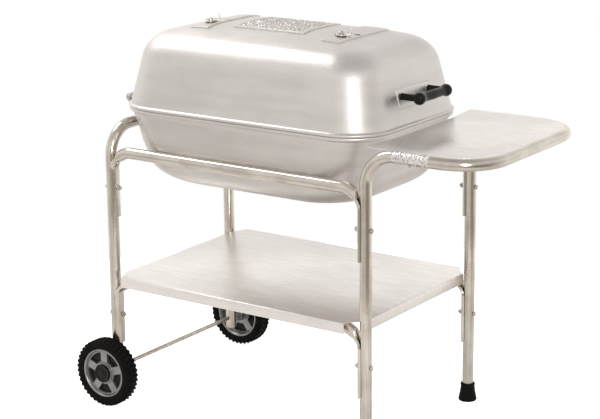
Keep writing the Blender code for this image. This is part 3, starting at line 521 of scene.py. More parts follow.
def rounded_rectangle(half_x: float, half_y: float, corner: float, z: float, segments: int = 14) -> Ring:
    """Points of a rounded rectangle, counter-clockwise, with a few points along its straights."""
    points: Ring = []
    for sign_x, sign_y, start in ((1, 1, 0), (-1, 1, 90), (-1, -1, 180), (1, -1, 270)):
        centre = (sign_x * (half_x - corner), sign_y * (half_y - corner))
        points += [Vector((x, y, z)) for x, y in arc(centre, corner, start, start + 90, segments)]
    full: Ring = []
    count = segments + 1
    for side in range(4):
        run = points[side * count:(side + 1) * count]
        ahead = points[((side + 1) * count) % len(points)]
        full += run + [run[-1].lerp(ahead, share / 6) for share in range(1, 6)]
    return full


def axis_frame(direction: Sequence[float]) -> Matrix:
    """Rotation that carries +Z to the direction."""
    return Vector((0, 0, 1)).rotation_difference(Vector(direction).normalized()).to_matrix().to_4x4()


def surface_frame(centre: Vector, normal: Sequence[float]) -> Matrix:
    """Placement whose +Z is the normal and whose +X points along the capsule."""
    up = Vector(normal).normalized()
    across = up.cross(Vector((1, 0, 0))).normalized()
    place = Matrix((across.cross(up), across, up)).transposed().to_4x4()
    place.translation = centre
    return place


def smooth_profile(points: Outline, steps: int = 4) -> Outline:
    """A smooth line through the points of a profile (a Catmull-Rom curve)."""
    padded = [points[0], *points, points[-1]]
    line: Outline = []
    for a, b, c, d in zip(padded, padded[1:], padded[2:], padded[3:]):
        for step in range(steps):
            t = step / steps
            line.append(tuple(
                0.5 * (2 * b[k] + (c[k] - a[k]) * t + (2 * a[k] - 5 * b[k] + 4 * c[k] - d[k]) * t ** 2
                       + (3 * b[k] - a[k] - 3 * c[k] + d[k]) * t ** 3) for k in (0, 1)))
    return line + [points[-1]]


# ---------------------------------------------------------------- mesh building

class Shape:
    """A mesh being built in cart coordinates out of closed bodies."""

    def __init__(self, name: str) -> None:
        """Starts empty.

        Args:
            name: The piece's name.
        """
        self.name = name
        self.bm = bmesh.new()
        self.uv = self.bm.loops.layers.uv.new("UVMap")

    def body(self, rings: Sequence[Ring], closed: bool = False, caps: bool = True,
             around: float = 1.0, place: Matrix | None = None) -> Shape:
        """Adds one closed body through rings of equal length.

        Args:
            rings: Loops of points.
            closed: Whether the last ring joins the first.
            caps: Whether the first and last ring are closed by a face.
            around: Length of a ring, for the unrolled coordinates.
            place: A transform for the whole body.

        Returns:
            The shape, for chaining.
        """
        before = set(self.bm.faces)
        matrix = place or Matrix.Identity(4)
        loops = [[self.bm.verts.new(matrix @ p) for p in ring] for ring in rings]
        run = [0.0]
        for one, other in zip(rings, rings[1:]):
            run.append(run[-1] + (one[0] - other[0]).length)
        pairs = list(range(len(loops))) if closed else list(range(len(loops) - 1))
        count = len(loops[0])
        for k in pairs:
            one, other = loops[k], loops[(k + 1) % len(loops)]
            for i in range(count):
                j = (i + 1) % count
                face = self.bm.faces.new((one[i], one[j], other[j], other[i]))
                ends = ((i, k), (i + 1, k), (i + 1, k + 1), (i, k + 1))
                for loop, (across, along) in zip(face.loops, ends):
                    loop[self.uv].uv = (around * across / count, run[min(along, len(run) - 1)])
        if caps and not closed:
            self.bm.faces.new(loops[0])
            self.bm.faces.new(list(reversed(loops[-1])))
        self.face_out([f for f in self.bm.faces if f not in before])
        return self

    def face_out(self, faces: list[bmesh.types.BMFace]) -> None:
        """Points the faces of one closed body outward."""
        bmesh.ops.recalc_face_normals(self.bm, faces=faces)
        volume = sum(f.calc_center_median().dot(f.normal) * f.calc_area() for f in faces)
        if volume < 0:
            bmesh.ops.reverse_faces(self.bm, faces=faces)

    def turned(self, profile: Outline, origin: Sequence[float], direction: Sequence[float],
               sides: int = 40) -> Shape:
        """Adds a body of (radius, height) points turned about an axis.

        Args:
            profile: The outline; it starts and ends on the axis, or closes on itself as a ring.
            origin: Where height 0 is.
            direction: The axis.
            sides: Steps round the axis.

        Returns:
            The shape, for chaining.
        """
        solid = profile[0][0] < 1e-6
        rows = profile[1:-1] if solid else profile
        place = Matrix.Translation(Vector(origin)) @ axis_frame(direction)
        turns = [polar(1.0, 360 * k / sides) for k in range(sides)]
        rings = [[Vector((r * c, r * s, h)) for c, s in turns] for r, h in rows]
        if not solid:
            return self.body(rings, closed=True, around=2 * math.pi * rows[0][0], place=place)
        before = set(self.bm.faces)
        self.body(rings, caps=False, around=2 * math.pi * max(r for r, _ in rows), place=place)
        added = [f for f in self.bm.faces if f not in before]
        loops = [e for e in {edge for f in added for edge in f.edges} if e.is_boundary]
        poles = [self.bm.verts.new(place @ Vector((0, 0, h))) for _, h in (profile[0], profile[-1])]
        first = {(place @ p).freeze() for p in rings[0]}
        near = {v for v in {v for e in loops for v in e.verts}
                if min((v.co - p).length for p in first) < 1e-9}
        for edge in loops:
            pole = poles[0] if edge.verts[0] in near else poles[1]
            self.bm.faces.new((*edge.verts, pole))
        self.face_out([f for f in self.bm.faces if f not in before])
        return self

    def prism(self, outline: Outline, low: float, high: float, place: Matrix | None = None) -> Shape:
        """Adds an outline of (x, y) points raised from one height to another."""
        rings = [[Vector((x, y, z)) for x, y in outline] for z in (low, high)]
        return self.body(rings, place=place)

    def upright(self, outline: Outline, low: float, high: float) -> Shape:
        """Adds an outline of (x, z) points drawn along Y."""
        return self.body([[Vector((x, y, z)) for x, z in outline] for y in (low, high)])

    def bead(self, path: Ring, radius: float, sides: int = 12) -> Shape:
        """Adds a round solid rod along a path."""
        side = path[1] - path[0]
        side = side.orthogonal().normalized()
        rings: list[Ring] = []
        for point, direction in zip(path, tangents(path)):
            side = (side - side.dot(direction) * direction).normalized()
            across = direction.cross(side)
            rings.append([point + radius * (c * side + s * across)
                          for c, s in (polar(1.0, 360 * k / sides) for k in range(sides))])
        return self.body(rings, around=2 * math.pi * radius)


@dataclass
class Workshop:
    """Turns shapes into finished pieces of the frame."""

    root_x: float
    materials: dict[str, bpy.types.Material] = field(default_factory=dict)
    made: list[str] = field(default_factory=list)

    def mix_finishes(self) -> None:
        """Builds every material once."""
        for finish in FINISHES:
            self.materials[finish.name()] = finish.build()
            LOG.info("finish %s", finish.name())

    def piece(self, shape: Shape, slot: Slot, body: Body | str, stands_for: Sequence[str] = (),
              bevel: float = 0.0, crease: float = 38.0, cutters: Sequence[Shape] = (),
              label: str = "") -> bpy.types.Object:
        """Makes a shape into an object that rides on a body.

        Args:
            shape: The finished shape.
            slot: The record's slot that it takes its finish from.
            body: The body that it rides on.
            stands_for: CAD nodes that it replaces.
            bevel: Width of a small bevel on its hard edges, or 0.
            crease: Angle in degrees above which an edge shades sharp.
            cutters: Shapes cut out of it.
            label: Ending of the finish's name, where a slot has more than one finish.

        Returns:
            The new object.
        """
        obj = self.mesh_object(shape)
        for cutter in cutters:
            tool = self.mesh_object(cutter)
            modifier = obj.modifiers.new("Cut", "BOOLEAN")
            modifier.object = tool
            modifier.solver = "EXACT"
            self.settle(obj)
            bpy.data.objects.remove(tool)
        if bevel:
            modifier = obj.modifiers.new("Bevel", "BEVEL")
            modifier.width = bevel
            modifier.segments = 2
            modifier.limit_method = "ANGLE"
            modifier.angle_limit = math.radians(35)
            self.settle(obj)
        obj.data.materials.clear()
        obj.data.materials.append(self.materials[slot.value + "_finish" + label])
        obj.data.shade_smooth()
        obj.data.set_sharp_from_angle(angle=math.radians(crease))
        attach(obj, body.value if isinstance(body, Body) else body)
        if stands_for:
            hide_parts(*stands_for)
        self.made.append(obj.name)
        LOG.info("piece %s: %d faces", obj.name, len(obj.data.polygons))
        return obj

    def mesh_object(self, shape: Shape) -> bpy.types.Object:
        """An object of the shape, moved from cart coordinates into the frame's."""
        mesh = bpy.data.meshes.new(shape.name)
        bmesh.ops.translate(shape.bm, verts=shape.bm.verts, vec=(self.root_x, 0, 0))
        shape.bm.to_mesh(mesh)
        shape.bm.free()
        obj = bpy.data.objects.new(shape.name, mesh)
        bpy.context.scene.collection.objects.link(obj)
        return obj

    def settle(self, obj: bpy.types.Object) -> None:
        """Applies the object's modifiers to its mesh."""
        view = bpy.context.evaluated_depsgraph_get()
        mesh = bpy.data.meshes.new_from_object(obj.evaluated_get(view))
        obj.modifiers.clear()
        obj.data = mesh


# ---------------------------------------------------------------- cart

@dataclass
class TubeCart:
    """Two bent end frames and four rails whose ends are pressed into saddles on the legs."""

    shop: Workshop
    leg_x: float
    leg_y: float
    radius: float = 0.0127
    wall: float = 0.0016
    push_bar_z: float = 0.637
    push_bar_bend: float = 0.065
    left_end_z: float = 0.053
    right_end_z: float = 0.008
    side_tube_z: float = 0.664
    side_tube_x: float = 0.600
    side_leg_bend: float = 0.067
    side_corner_bend: float = 0.095
    saddle_span: float = math.radians(65)
    saddle_inner: float = 0.0134
    saddle_outer: float = 0.0176
    rail_bend: float = 0.040
    press_start: float = math.radians(40)
    sides: int = 30
    levels: tuple = (("top", 0.586, 0.436), ("shelf", 0.2875, 0.140))

    def build(self) -> None:
        """Makes both end frames and all four rails."""
        x, y = self.leg_x, self.leg_y
        left = bent_path([(-x, -y, self.left_end_z), (-x, -y, self.push_bar_z), (-x, y, self.push_bar_z),
                          (-x, y, self.left_end_z)], [self.push_bar_bend] * 2)
        self.shop.piece(self.open_tube("push_bar_frame", left), Slot.TUBE, Body.CART, ["left_end_frame"])
        top, tip = self.side_tube_z, self.side_tube_x
        right = bent_path([(x, -y, self.right_end_z), (x, -y, top), (tip, -y, top), (tip, y, top),
                           (x, y, top), (x, y, self.right_end_z)],
                          [self.side_leg_bend, self.side_corner_bend, self.side_corner_bend,
                           self.side_leg_bend])
        self.shop.piece(self.open_tube("side_loop_frame", right), Slot.TUBE, Body.CART,
                        ["right_end_frame"])
        for level, rail_z, end_z in self.levels:
            for label, side in SIDES:
                shape = self.saddle_rail(f"{level}_saddle_rail_{label}", side * y, rail_z, end_z)
                self.shop.piece(shape, Slot.TUBE, Body.CART, [f"{level}_rail_{label}"], crease=50)

    def fine(self, path: Ring, step: float = 0.03) -> Ring:
        """The path with extra points on its long straight runs."""
        full = [path[0]]
        for a, b in zip(path, path[1:]):
            parts = max(1, round((b - a).length / step))
            full += [a.lerp(b, i / parts) for i in range(1, parts + 1)]
        return full

    def open_tube(self, name: str, path: Ring) -> Shape:
        """A hollow tube with open, slightly rounded ends along the path."""
        path = self.fine(path)
        side = Vector((0, 1, 0))
        shells: list[list[Ring]] = [[], []]
        last = None
        for point, direction in zip(path, tangents(path)):
            if last is not None:
                side = last.rotation_difference(direction) @ side
            last = direction
            across = direction.cross(side).normalized()
            side = across.cross(direction).normalized()
            for shell, radius in zip(shells, (self.radius, self.radius - self.wall)):
                shell.append([point + radius * (c * side + s * across)
                              for c, s in (polar(1.0, 360 * (k + 0.5) / self.sides)
                                           for k in range(self.sides))])
        around = 2 * math.pi * self.radius
        return Shape(name).body(shells[0] + shells[1][::-1], closed=True, around=around)

    def saddle_ring(self, shrink: float, flatness: float) -> Outline:
        """Section of a rail, from round (0) to a crescent that hugs the leg (1).

        Args:
            shrink: How far the section lies inside the outer surface.
            flatness: How far it is pressed.

        Returns:
            Offsets (away from the leg, across) from the rail's centre line.
        """
        axis = (self.saddle_inner + self.saddle_outer) / 2
        widest = math.pi / 2 - math.pi / self.sides
        points: Outline = []
        for k in range(self.sides):
            angle = 2 * math.pi * (k + 0.5) / self.sides
            outside = math.cos(angle) > 0
            turn = math.remainder(angle if outside else math.pi - angle, 2 * math.pi)
            swing = turn / widest * (self.saddle_span - shrink / self.radius)
            reach = self.saddle_outer - shrink if outside else self.saddle_inner + shrink
            circle = Vector((math.cos(angle), math.sin(angle))) * (self.radius - shrink)
            crescent = Vector((reach * math.cos(swing) - axis, reach * math.sin(swing)))
            points.append(tuple(circle.lerp(crescent, flatness)))
        return points

    def saddle_rail(self, name: str, y: float, rail_z: float, end_z: float) -> Shape:
        """A rail between the legs whose ends turn down and are pressed into saddles."""
        side = self.leg_x - (self.saddle_inner + self.saddle_outer) / 2
        half = bent_path([(0, y, rail_z), (side, y, rail_z), (side, y, end_z)], [self.rail_bend], 24)[1:]
        half = [half[0], *self.fine(half)[1:]]
        path = self.fine([Vector((-p.x, y, p.z)) for p in reversed(half)] + half)
        shells: list[list[Ring]] = [[], []]
        for point, direction in zip(path, tangents(path)):
            turned_down = math.asin(min(1.0, abs(direction.z)))
            share = max(0.0, (turned_down - self.press_start) / (math.pi / 2 - self.press_start))
            flatness = 1 - (1 - min(1.0, share)) ** 1.6
            inward = Vector((direction.z, 0, -direction.x))
            for shell, shrink in zip(shells, (0.0, self.wall)):
                shell.append([point + a * inward + Vector((0, b, 0))
                              for a, b in self.saddle_ring(shrink, flatness)])
        return Shape(name).body(shells[0] + shells[1][::-1], closed=True,
                                around=2 * math.pi * self.radius)


@dataclass
class SaddleBolts:
    """A domed bolt through each saddle and leg, with its nut and showing thread."""

    shop: Workshop
    cart: TubeCart
    heights: tuple = (("upper", 0.5025), ("lower", 0.2075))
    head_x: float = 0.0130
    saddle_x: float = 0.0179
    pitch: float = 0.0012

    def build(self) -> None:
        """Makes eight bolts and eight nuts."""
        for end, out in ENDS:
            for label, side in SIDES:
                for level, z in self.heights:
                    name = f"{level}_{end}_{label}"
                    centre = (out * self.cart.leg_x, side * self.cart.leg_y, z)
                    bolt = Shape(f"saddle_bolt_{name}").turned(self.bolt(), centre, (out, 0, 0), 20)
                    self.shop.piece(bolt, Slot.STEEL, Body.CART, [f"bolt_{name}"], crease=50)
                    nut = self.nut(f"saddle_nut_{name}", centre, -out)
                    self.shop.piece(nut, Slot.STEEL, Body.CART, [f"nut_{name}"], crease=25)

    def bolt(self) -> Outline:
        """Profile of the bolt: domed head, shank and a threaded end."""
        head = [(0.0, self.head_x + 0.0048), (0.0022, self.head_x + 0.0045),
                (0.0040, self.head_x + 0.0036), (0.0052, self.head_x + 0.0020), (0.0056, self.head_x),
                (0.0031, self.head_x - 0.0002)]
        thread: Outline = []
        for turn in range(8):
            h = -self.saddle_x - turn * self.pitch
            thread += [(0.0031, h), (0.0027, h - self.pitch / 2)]
        return head + thread + [(0.0, -self.saddle_x - 8 * self.pitch + 0.0004)]

    def nut(self, name: str, centre: Sequence[float], out: int) -> Shape:
        """A six-sided nut with chamfered corners and a clear bore."""
        low, high = self.saddle_x, self.saddle_x + 0.0050
        place = Matrix.Translation(Vector(centre)) @ axis_frame((out, 0, 0))
        sides = 24

        def ring(flat: float, corner: float, height: float) -> Ring:
            """A hexagon of half width `flat`, its corners turned off at radius `corner`."""
            points: Ring = []
            for k in range(sides):
                angle = 360 * k / sides
                hexagon = flat / math.cos(math.radians((angle + 30) % 60 - 30))
                points.append(Vector((*polar(min(hexagon, corner), angle), height)))
            return points

        rings = [ring(0.0036, 0.0036, low), ring(0.0050, 0.0053, low), ring(0.0050, 0.0058, low + 0.0008),
                 ring(0.0050, 0.0058, high - 0.0008), ring(0.0050, 0.0053, high),
                 ring(0.0036, 0.0036, high)]
        return Shape(name).body(rings, closed=True, place=place)


@dataclass
class Shelves:
    """The folded tray on the shelf rails and the plate on the side loop."""

    shop: Workshop
    cart: TubeCart
    sheet: float = 0.0015
    tray_z: float = 0.302
    tray_left: float = -0.318
    tray_right: float = 0.328
    tray_half_y: float = 0.240
    cut_y: float = 0.040
    cut_left: float = 0.020
    cut_right: float = 0.030
    flange: float = 0.022
    fold: float = 0.0022
    tip_x: float = 0.326
    inner_x: float = 0.345
    tab_x: tuple[float, float] = (0.404, 0.488)
    tab_turn: float = 165.0
    screw_x: float = 0.444
    screw_turn: float = 151.25

    def build(self) -> None:
        """Makes the tray, the plate and the plate's screws."""
        self.build_tray()
        self.build_plate()
        self.build_screws()

    def build_tray(self) -> None:
        """Tray with a soft fold along each side and cut corners."""
        half, side = self.tray_half_y, self.tray_half_y - self.cut_y
        left, right = self.tray_left + self.cut_left, self.tray_right - self.cut_right
        runs = [((left, -half), (right, -half), (0, -1)),
                ((self.tray_right, -side), (self.tray_right, side), (1, 0)),
                ((right, half), (left, half), (0, 1)),
                ((self.tray_left, side), (self.tray_left, -side), (-1, 0))]
        shape = Shape("tray")
        bm = shape.bm
        inner = []
        for start, end, out in runs:
            for x, y in (start, end):
                inner.append(bm.verts.new((x - out[0] * self.fold, y - out[1] * self.fold, self.tray_z)))
        bm.faces.new(inner)
        for index, (start, end, out) in enumerate(runs):
            last = [inner[2 * index], inner[2 * index + 1]]
            strips = [(self.fold * (1 - math.cos(math.radians(90 * s / 5))),
                       self.fold * math.sin(math.radians(90 * s / 5))) for s in range(1, 6)]
            for drop, reach in [*strips, (self.flange, self.fold)]:
                step = reach - self.fold
                row = [bm.verts.new((x + out[0] * step, y + out[1] * step, self.tray_z - drop))
                       for x, y in (start, end)]
                bm.faces.new((last[1], last[0], row[0], row[1]))
                last = row
        self.thicken(shape, -self.sheet)
        self.shop.piece(shape, Slot.SHEET, Body.CART, ["lower_shelf"], bevel=0.0003)

    def build_plate(self) -> None:
        """Plate over the loop with a tab rolled round the tube at front and back."""
        cart = self.cart
        plate_z = cart.side_tube_z + cart.radius + 0.0003
        bend = cart.side_corner_bend
        low, high = self.tab_x
        corner = arc((cart.side_tube_x - bend, cart.leg_y - bend), bend, 90, 0, 20)
        nose = arc((self.tip_x + 0.016, cart.leg_y - 0.008), 0.008, 170, 90, 6)
        half = [(self.inner_x, 0.110), (self.inner_x - 0.0035, 0.140), *nose, (low, cart.leg_y),
                (high, cart.leg_y), *corner]
        outline = [(x, -y) for x, y in half] + [(x, y) for x, y in reversed(half)]
        shape = Shape("side_plate")
        shape.bm.faces.new([shape.bm.verts.new((x, y, plate_z)) for x, y in outline])
        self.thicken(shape, self.sheet)
        self.shop.piece(shape, Slot.SHEET, Body.CART, ["side_shelf"], bevel=0.0003)
        rise = plate_z - cart.side_tube_z
        for label, side in SIDES:
            shape = Shape(f"rolled_tab_{label}")
            rows = []
            for step in range(37):
                turn = math.radians(self.tab_turn * step / 36)
                y = side * (cart.leg_y + rise * math.sin(turn))
                z = cart.side_tube_z + rise * math.cos(turn)
                rows.append([shape.bm.verts.new((low + (high - low) * k / 20, y, z)) for k in range(21)])
            for one, other in zip(rows, rows[1:]):
                for k in range(20):
                    shape.bm.faces.new((one[k], one[k + 1], other[k + 1], other[k]))
            self.thicken(shape, self.sheet)
            self.shop.piece(shape, Slot.SHEET, Body.CART, bevel=0.0003, label=HAMMERED)

    def thicken(self, shape: Shape, thickness: float) -> None:
        """Gives an open sheet its thickness, below or above the face that looks up most."""
        bm = shape.bm
        bmesh.ops.recalc_face_normals(bm, faces=bm.faces)
        if max(bm.faces, key=lambda face: abs(face.normal.z) * face.calc_area()).normal.z < 0:
            bmesh.ops.reverse_faces(bm, faces=bm.faces)
        bmesh.ops.solidify(bm, geom=bm.faces[:], thickness=thickness)
        shape.face_out(list(bm.faces))

    def build_screws(self) -> None:
        """One slotted screw through each tab."""
        face = self.cart.radius + 0.0003 + self.sheet
        for label, side in SIDES:
            turn = math.radians(self.screw_turn)
            out = Vector((0, side * math.sin(turn), math.cos(turn)))
            centre = Vector((self.screw_x, side * self.cart.leg_y, self.cart.side_tube_z)) + out * face
            profile = [(0.0, 0.0022), (0.0020, 0.0020), (0.0034, 0.0012), (0.0042, 0.0001),
                       (0.0020, 0.0), (0.0020, -0.0080), (0.0, -0.0080)]
            shape = Shape(f"plate_screw_{label}").turned(profile, centre, out, 20)
            slot = Shape("slot").prism([(-0.0005, -0.005), (0.0005, -0.005), (0.0005, 0.005),
                                        (-0.0005, 0.005)], 0.0013, 0.003,
                                       Matrix.Translation(centre) @ axis_frame(out))
            self.shop.piece(shape, Slot.STEEL, Body.CART, [f"side_shelf_screw_{label}"], cutters=[slot])


@dataclass
class WheelSet:
    """Axle, lugged tyres, spoked hubs and caps."""

    shop: Workshop
    axle_x: float
    radius: float
    inner_y: float = 0.2360
    outer_y: float = 0.2750
    bead: float = 0.0570
    axle_r: float = 0.0050
    axle_end_y: float = 0.2700
    cap_r: float = 0.0215
    cap_y: float = 0.2760
    lugs: int = 40
    lug_depth: float = 0.0032
    spokes: int = 5

    def build(self) -> None:
        """Makes the axle and both wheels."""
        axle = [(0.0, -self.axle_end_y), (self.axle_r - 0.0006, -self.axle_end_y),
                (self.axle_r, -self.axle_end_y + 0.0006), (self.axle_r, self.axle_end_y - 0.0006),
                (self.axle_r - 0.0006, self.axle_end_y), (0.0, self.axle_end_y)]
        rod = Shape("wheel_axle").turned(axle, (self.axle_x, 0, self.radius), (0, 1, 0), 24)
        self.shop.piece(rod, Slot.STEEL, Body.CART, ["axle"])
        for label, side in SIDES:
            inner = (self.axle_x, side * self.inner_y, self.radius)
            body = f"wheel_{label}"
            self.shop.piece(self.tyre(f"lugged_tyre_{label}", inner, side), Slot.TYRE, body,
                            [f"tyre_{label}"], crease=30)
            self.build_hub(label, inner, side)
            cap = self.cap(f"hub_cap_{label}", inner, side)
            self.shop.piece(cap, Slot.CAP, body, [f"wheel_cap_{label}"], crease=50)

    def tyre(self, name: str, inner: Sequence[float], side: int) -> Shape:
        """Tyre with slanted lugs that reach over its shoulders."""
        width = self.outer_y - self.inner_y
        r = self.radius
        tread = [(r - 0.0042, 0.0012), (r - 0.0016, 0.0026), (r - 0.0003, 0.0052)]
        tread += [(r, 0.0052 + (width - 0.0104) * k / 12) for k in range(1, 12)]
        tread += [(r - 0.0003, width - 0.0052), (r - 0.0016, width - 0.0026), (r - 0.0042, width - 0.0012)]
        wall = [(0.0700, 0.0004), (0.0650, 0.0), (0.0625, 0.0008), (0.0600, 0.0008),
                (self.bead + 0.0006, 0.0022), (self.bead, 0.0042)]
        profile = [(h_r, h) for h_r, h in reversed(wall)] + tread
        profile += [(h_r, width - h) for h_r, h in wall]
        steps = self.lugs * 8
        place = Matrix.Translation(Vector(inner)) @ axis_frame((0, side, 0))
        rings: list[Ring] = []
        for k in range(steps):
            c, s = polar(1.0, 360 * k / steps)
            ring: Ring = []
            for r_here, h in profile:
                across = abs(h / width - 0.5) * 2
                phase = (self.lugs * k / steps + 0.55 * across * (1 if h > width / 2 else 1.9)) % 1.0
                groove = min(1.0, max(0.0, (0.30 - abs(phase - 0.5)) / 0.10))
                reach = min(1.0, max(0.0, (r_here - r + 0.0095) / 0.006))
                middle = 1.0 if across > 0.10 else 0.35
                depth = self.lug_depth * groove * reach * middle
                ring.append(Vector(((r_here - depth) * c, (r_here - depth) * s, h)))
            rings.append(ring)
        return Shape(name).body(rings, closed=True, place=place)

    def build_hub(self, label: str, inner: Sequence[float], side: int) -> None:
        """Grey hub with five windows between its spokes, over a closed web in the black cap finish: painted
        shade seen through the windows.
        """
        width = self.outer_y - self.inner_y
        face = width - 0.009
        rim = self.bead - 0.0003
        profile = [(rim, 0.004), (rim, width - 0.004), (rim - 0.0014, width - 0.0030),
                   (0.0535, width - 0.0030), (0.0522, width - 0.0042), (0.0505, face - 0.0002),
                   (0.0490, face), (0.0262, face), (0.0250, face + 0.0010), (0.0242, width - 0.0045),
                   (0.0228, width - 0.0042), (self.axle_r + 0.0003, width - 0.0042),
                   (self.axle_r + 0.0003, 0.001), (0.0150, 0.001), (0.0160, 0.002), (0.0185, 0.0165),
                   (0.0490, 0.018), (0.0525, 0.0050), (0.0535, 0.0040)]
        cutters = []
        for spoke in range(self.spokes):
            middle = 360 / self.spokes * spoke + 54
            outline = arc((0, 0), 0.0480, middle - 25, middle + 25, 10)
            outline += arc((0, 0), 0.0268, middle + 17, middle - 17, 6)
            corners = [(inner[0] + x, inner[2] + z) for x, z in outline]
            low, high = sorted((inner[1] + side * 0.006, inner[1] + side * 0.034))
            cutters.append(Shape("window").upright(corners, low, high))
        hub = Shape(f"spoked_hub_{label}").turned(profile, inner, (0, side, 0), 72)
        self.shop.piece(hub, Slot.HUB, f"wheel_{label}", [f"wheel_hub_{label}"], bevel=0.0006,
                        cutters=cutters)
        # Black web behind the windows: painted shade that stands in for the shadow inside the hub.
        web = [(0.0505, 0.0205), (0.0505, 0.0235), (0.0190, 0.0235), (0.0190, 0.0205)]
        disc = Shape(f"hub_shade_web_{label}").turned(web, inner, (0, side, 0), 60)
        self.shop.piece(disc, Slot.CAP, f"wheel_{label}")

    def cap(self, name: str, inner: Sequence[float], side: int) -> Shape:
        """Pressed cap with a rolled lip round a shallow dish."""
        back = self.outer_y - self.inner_y - 0.004 + 0.0003
        front = self.cap_y - self.inner_y
        r = self.cap_r
        profile = [(0.0, front - 0.0012), (0.0060, front - 0.0014), (0.0110, front - 0.0024),
                   (0.0140, front - 0.0030), (0.0155, front - 0.0022), (0.0170, front - 0.0006),
                   (0.0188, front), (0.0204, front - 0.0008), (r, front - 0.0028), (r, back),
                   (0.0065, back), (0.0065, back + 0.001), (0.0, back + 0.001)]
        return Shape(name).turned(profile, inner, (0, side, 0), 48)


@dataclass
class Feet:
    """Flared rubber boots on the legs without wheels."""

    shop: Workshop
    cart: TubeCart
    top_z: float = 0.041

    def build(self) -> None:
        """Makes both boots."""
        bore = self.cart.radius + 0.0003
        outer = smooth_profile([(0.0206, 0.0012), (0.0208, 0.0040), (0.0196, 0.0100), (0.0178, 0.0190),
                                (0.0164, 0.0290), (0.0158, 0.0350)])
        lip = [(0.0163, 0.0358), (0.0168, 0.0372), (0.0167, 0.0392), (0.0158, self.top_z)]
        profile = [(0.0, 0.0), (0.0196, 0.0), *outer, *lip, (bore, self.top_z),
                   (bore, self.cart.right_end_z - 0.0003), (0.0, self.cart.right_end_z - 0.0003)]
        for label, side in SIDES:
            centre = (self.cart.leg_x, side * self.cart.leg_y, 0)
            shape = Shape(f"boot_{label}").turned(profile, centre, (0, 0, 1), 44)
            self.shop.piece(shape, Slot.RUBBER, Body.CART, [f"foot_{label}"], crease=50)


# ---------------------------------------------------------------- capsule

Section = tuple[float, float, float, float]


def shrunk(sections: list[Section], thickness: float, rim_z: float) -> list[Section]:
    """Sections moved in by a thickness; those far from the rim also move toward it."""
    far = max(abs(section[3] - rim_z) for section in sections)
    moved: list[Section] = []
    for half_x, half_y, corner, z in sections:
        share = min(1.0, 1.2 * ((z - rim_z) / far) ** 2)
        moved.append((half_x - thickness, half_y - thickness, corner - thickness,
                      z + math.copysign(thickness * share, rim_z - z)))
    return moved


def between(one: Section, other: Section, steps: int) -> list[Section]:
    """Sections evenly spaced after the first, up to and with the second."""
    return [tuple(a + (b - a) * k / steps for a, b in zip(one, other)) for k in range(1, steps + 1)]


@dataclass
class Hinge:
    """Cast lugs on the tub, ears on the lid, and loose pins kept by ring clips."""

    shop: Workshop
    x: float = -0.3570
    z: float = 0.6880
    y: float = 0.118
    pin_r: float = 0.0040
    knuckle: float = 0.0090
    thick: float = 0.0080

    def build(self) -> None:
        """Makes the lugs, ears, pins and clips."""
        for label, side in SIDES:
            lug = Shape(f"hinge_lug_{label}").upright(self.lug_outline(), side * self.y - self.thick / 2,
                                                      side * self.y + self.thick / 2)
            self.shop.piece(lug, Slot.CAST, Body.CAPSULE, bevel=0.0012, cutters=[self.bore(side)])
            ear_y = side * (self.y - self.thick - 0.001)
            ear = Shape(f"hinge_ear_{label}").upright(self.ear_outline(), ear_y - self.thick / 2,
                                                      ear_y + self.thick / 2)
            self.shop.piece(ear, Slot.CAST, Body.LID, bevel=0.0012, cutters=[self.bore(side)])
            self.build_pin(label, side)

    def bore(self, side: int) -> Shape:
        """Cutter for the pin's hole through lug and ear."""
        profile = [(0.0, -0.03), (self.pin_r + 0.0003, -0.03), (self.pin_r + 0.0003, 0.03), (0.0, 0.03)]
        return Shape("bore").turned(profile, (self.x, side * self.y, self.z), (0, side, 0), 28)

    def lug_outline(self) -> Outline:
        """Side outline of a lug with its gusset."""
        return arc((self.x, self.z), self.knuckle, 60, 230, 18) + [
            (-0.3460, 0.6640), (-0.3130, 0.6400), (-0.3210, 0.6690), (-0.3300, 0.6790),
            (-0.3375, 0.6790), (self.x + self.knuckle + 0.0015, self.z + 0.002)]

    def ear_outline(self) -> Outline:
        """Side outline of an ear."""
        return arc((self.x, self.z), self.knuckle, 80, 290, 20) + [
            (-0.3400, 0.6854), (-0.3260, 0.6854), (-0.3190, 0.7160), (-0.3300, 0.7160)]

    def build_pin(self, label: str, side: int) -> None:
        """Pin with a domed head, and the ring that keeps it."""
        centre = (self.x, side * self.y, self.z)
        out = self.thick / 2 + 0.0003
        length = self.thick / 2 + 0.001 + self.thick + 0.007
        pin = [(0.0, out + 0.003), (0.0036, out + 0.0029), (0.0055, out + 0.0022), (0.0062, out + 0.0012),
               (0.0062, out), (self.pin_r, out), (self.pin_r, -length + 0.0010),
               (self.pin_r - 0.0010, -length), (0.0, -length)]
        shape = Shape(f"lid_pin_{label}").turned(pin, centre, (0, side, 0), 28)
        self.shop.piece(shape, Slot.STEEL, Body.CAPSULE, [f"hinge_pin_{label}"], crease=50)
        seat = -(self.thick / 2 + 0.001 + self.thick + 0.001) - 0.001
        ring = [(0.0059 + 0.0012 * c, seat + 0.0010 * s) for c, s in
                (polar(1.0, 360 * k / 12) for k in range(12))]
        clip = Shape(f"pin_ring_{label}").turned(ring, centre, (0, side, 0), 28)
        self.shop.piece(clip, Slot.STEEL, Body.CAPSULE, [f"hinge_clip_{label}"])


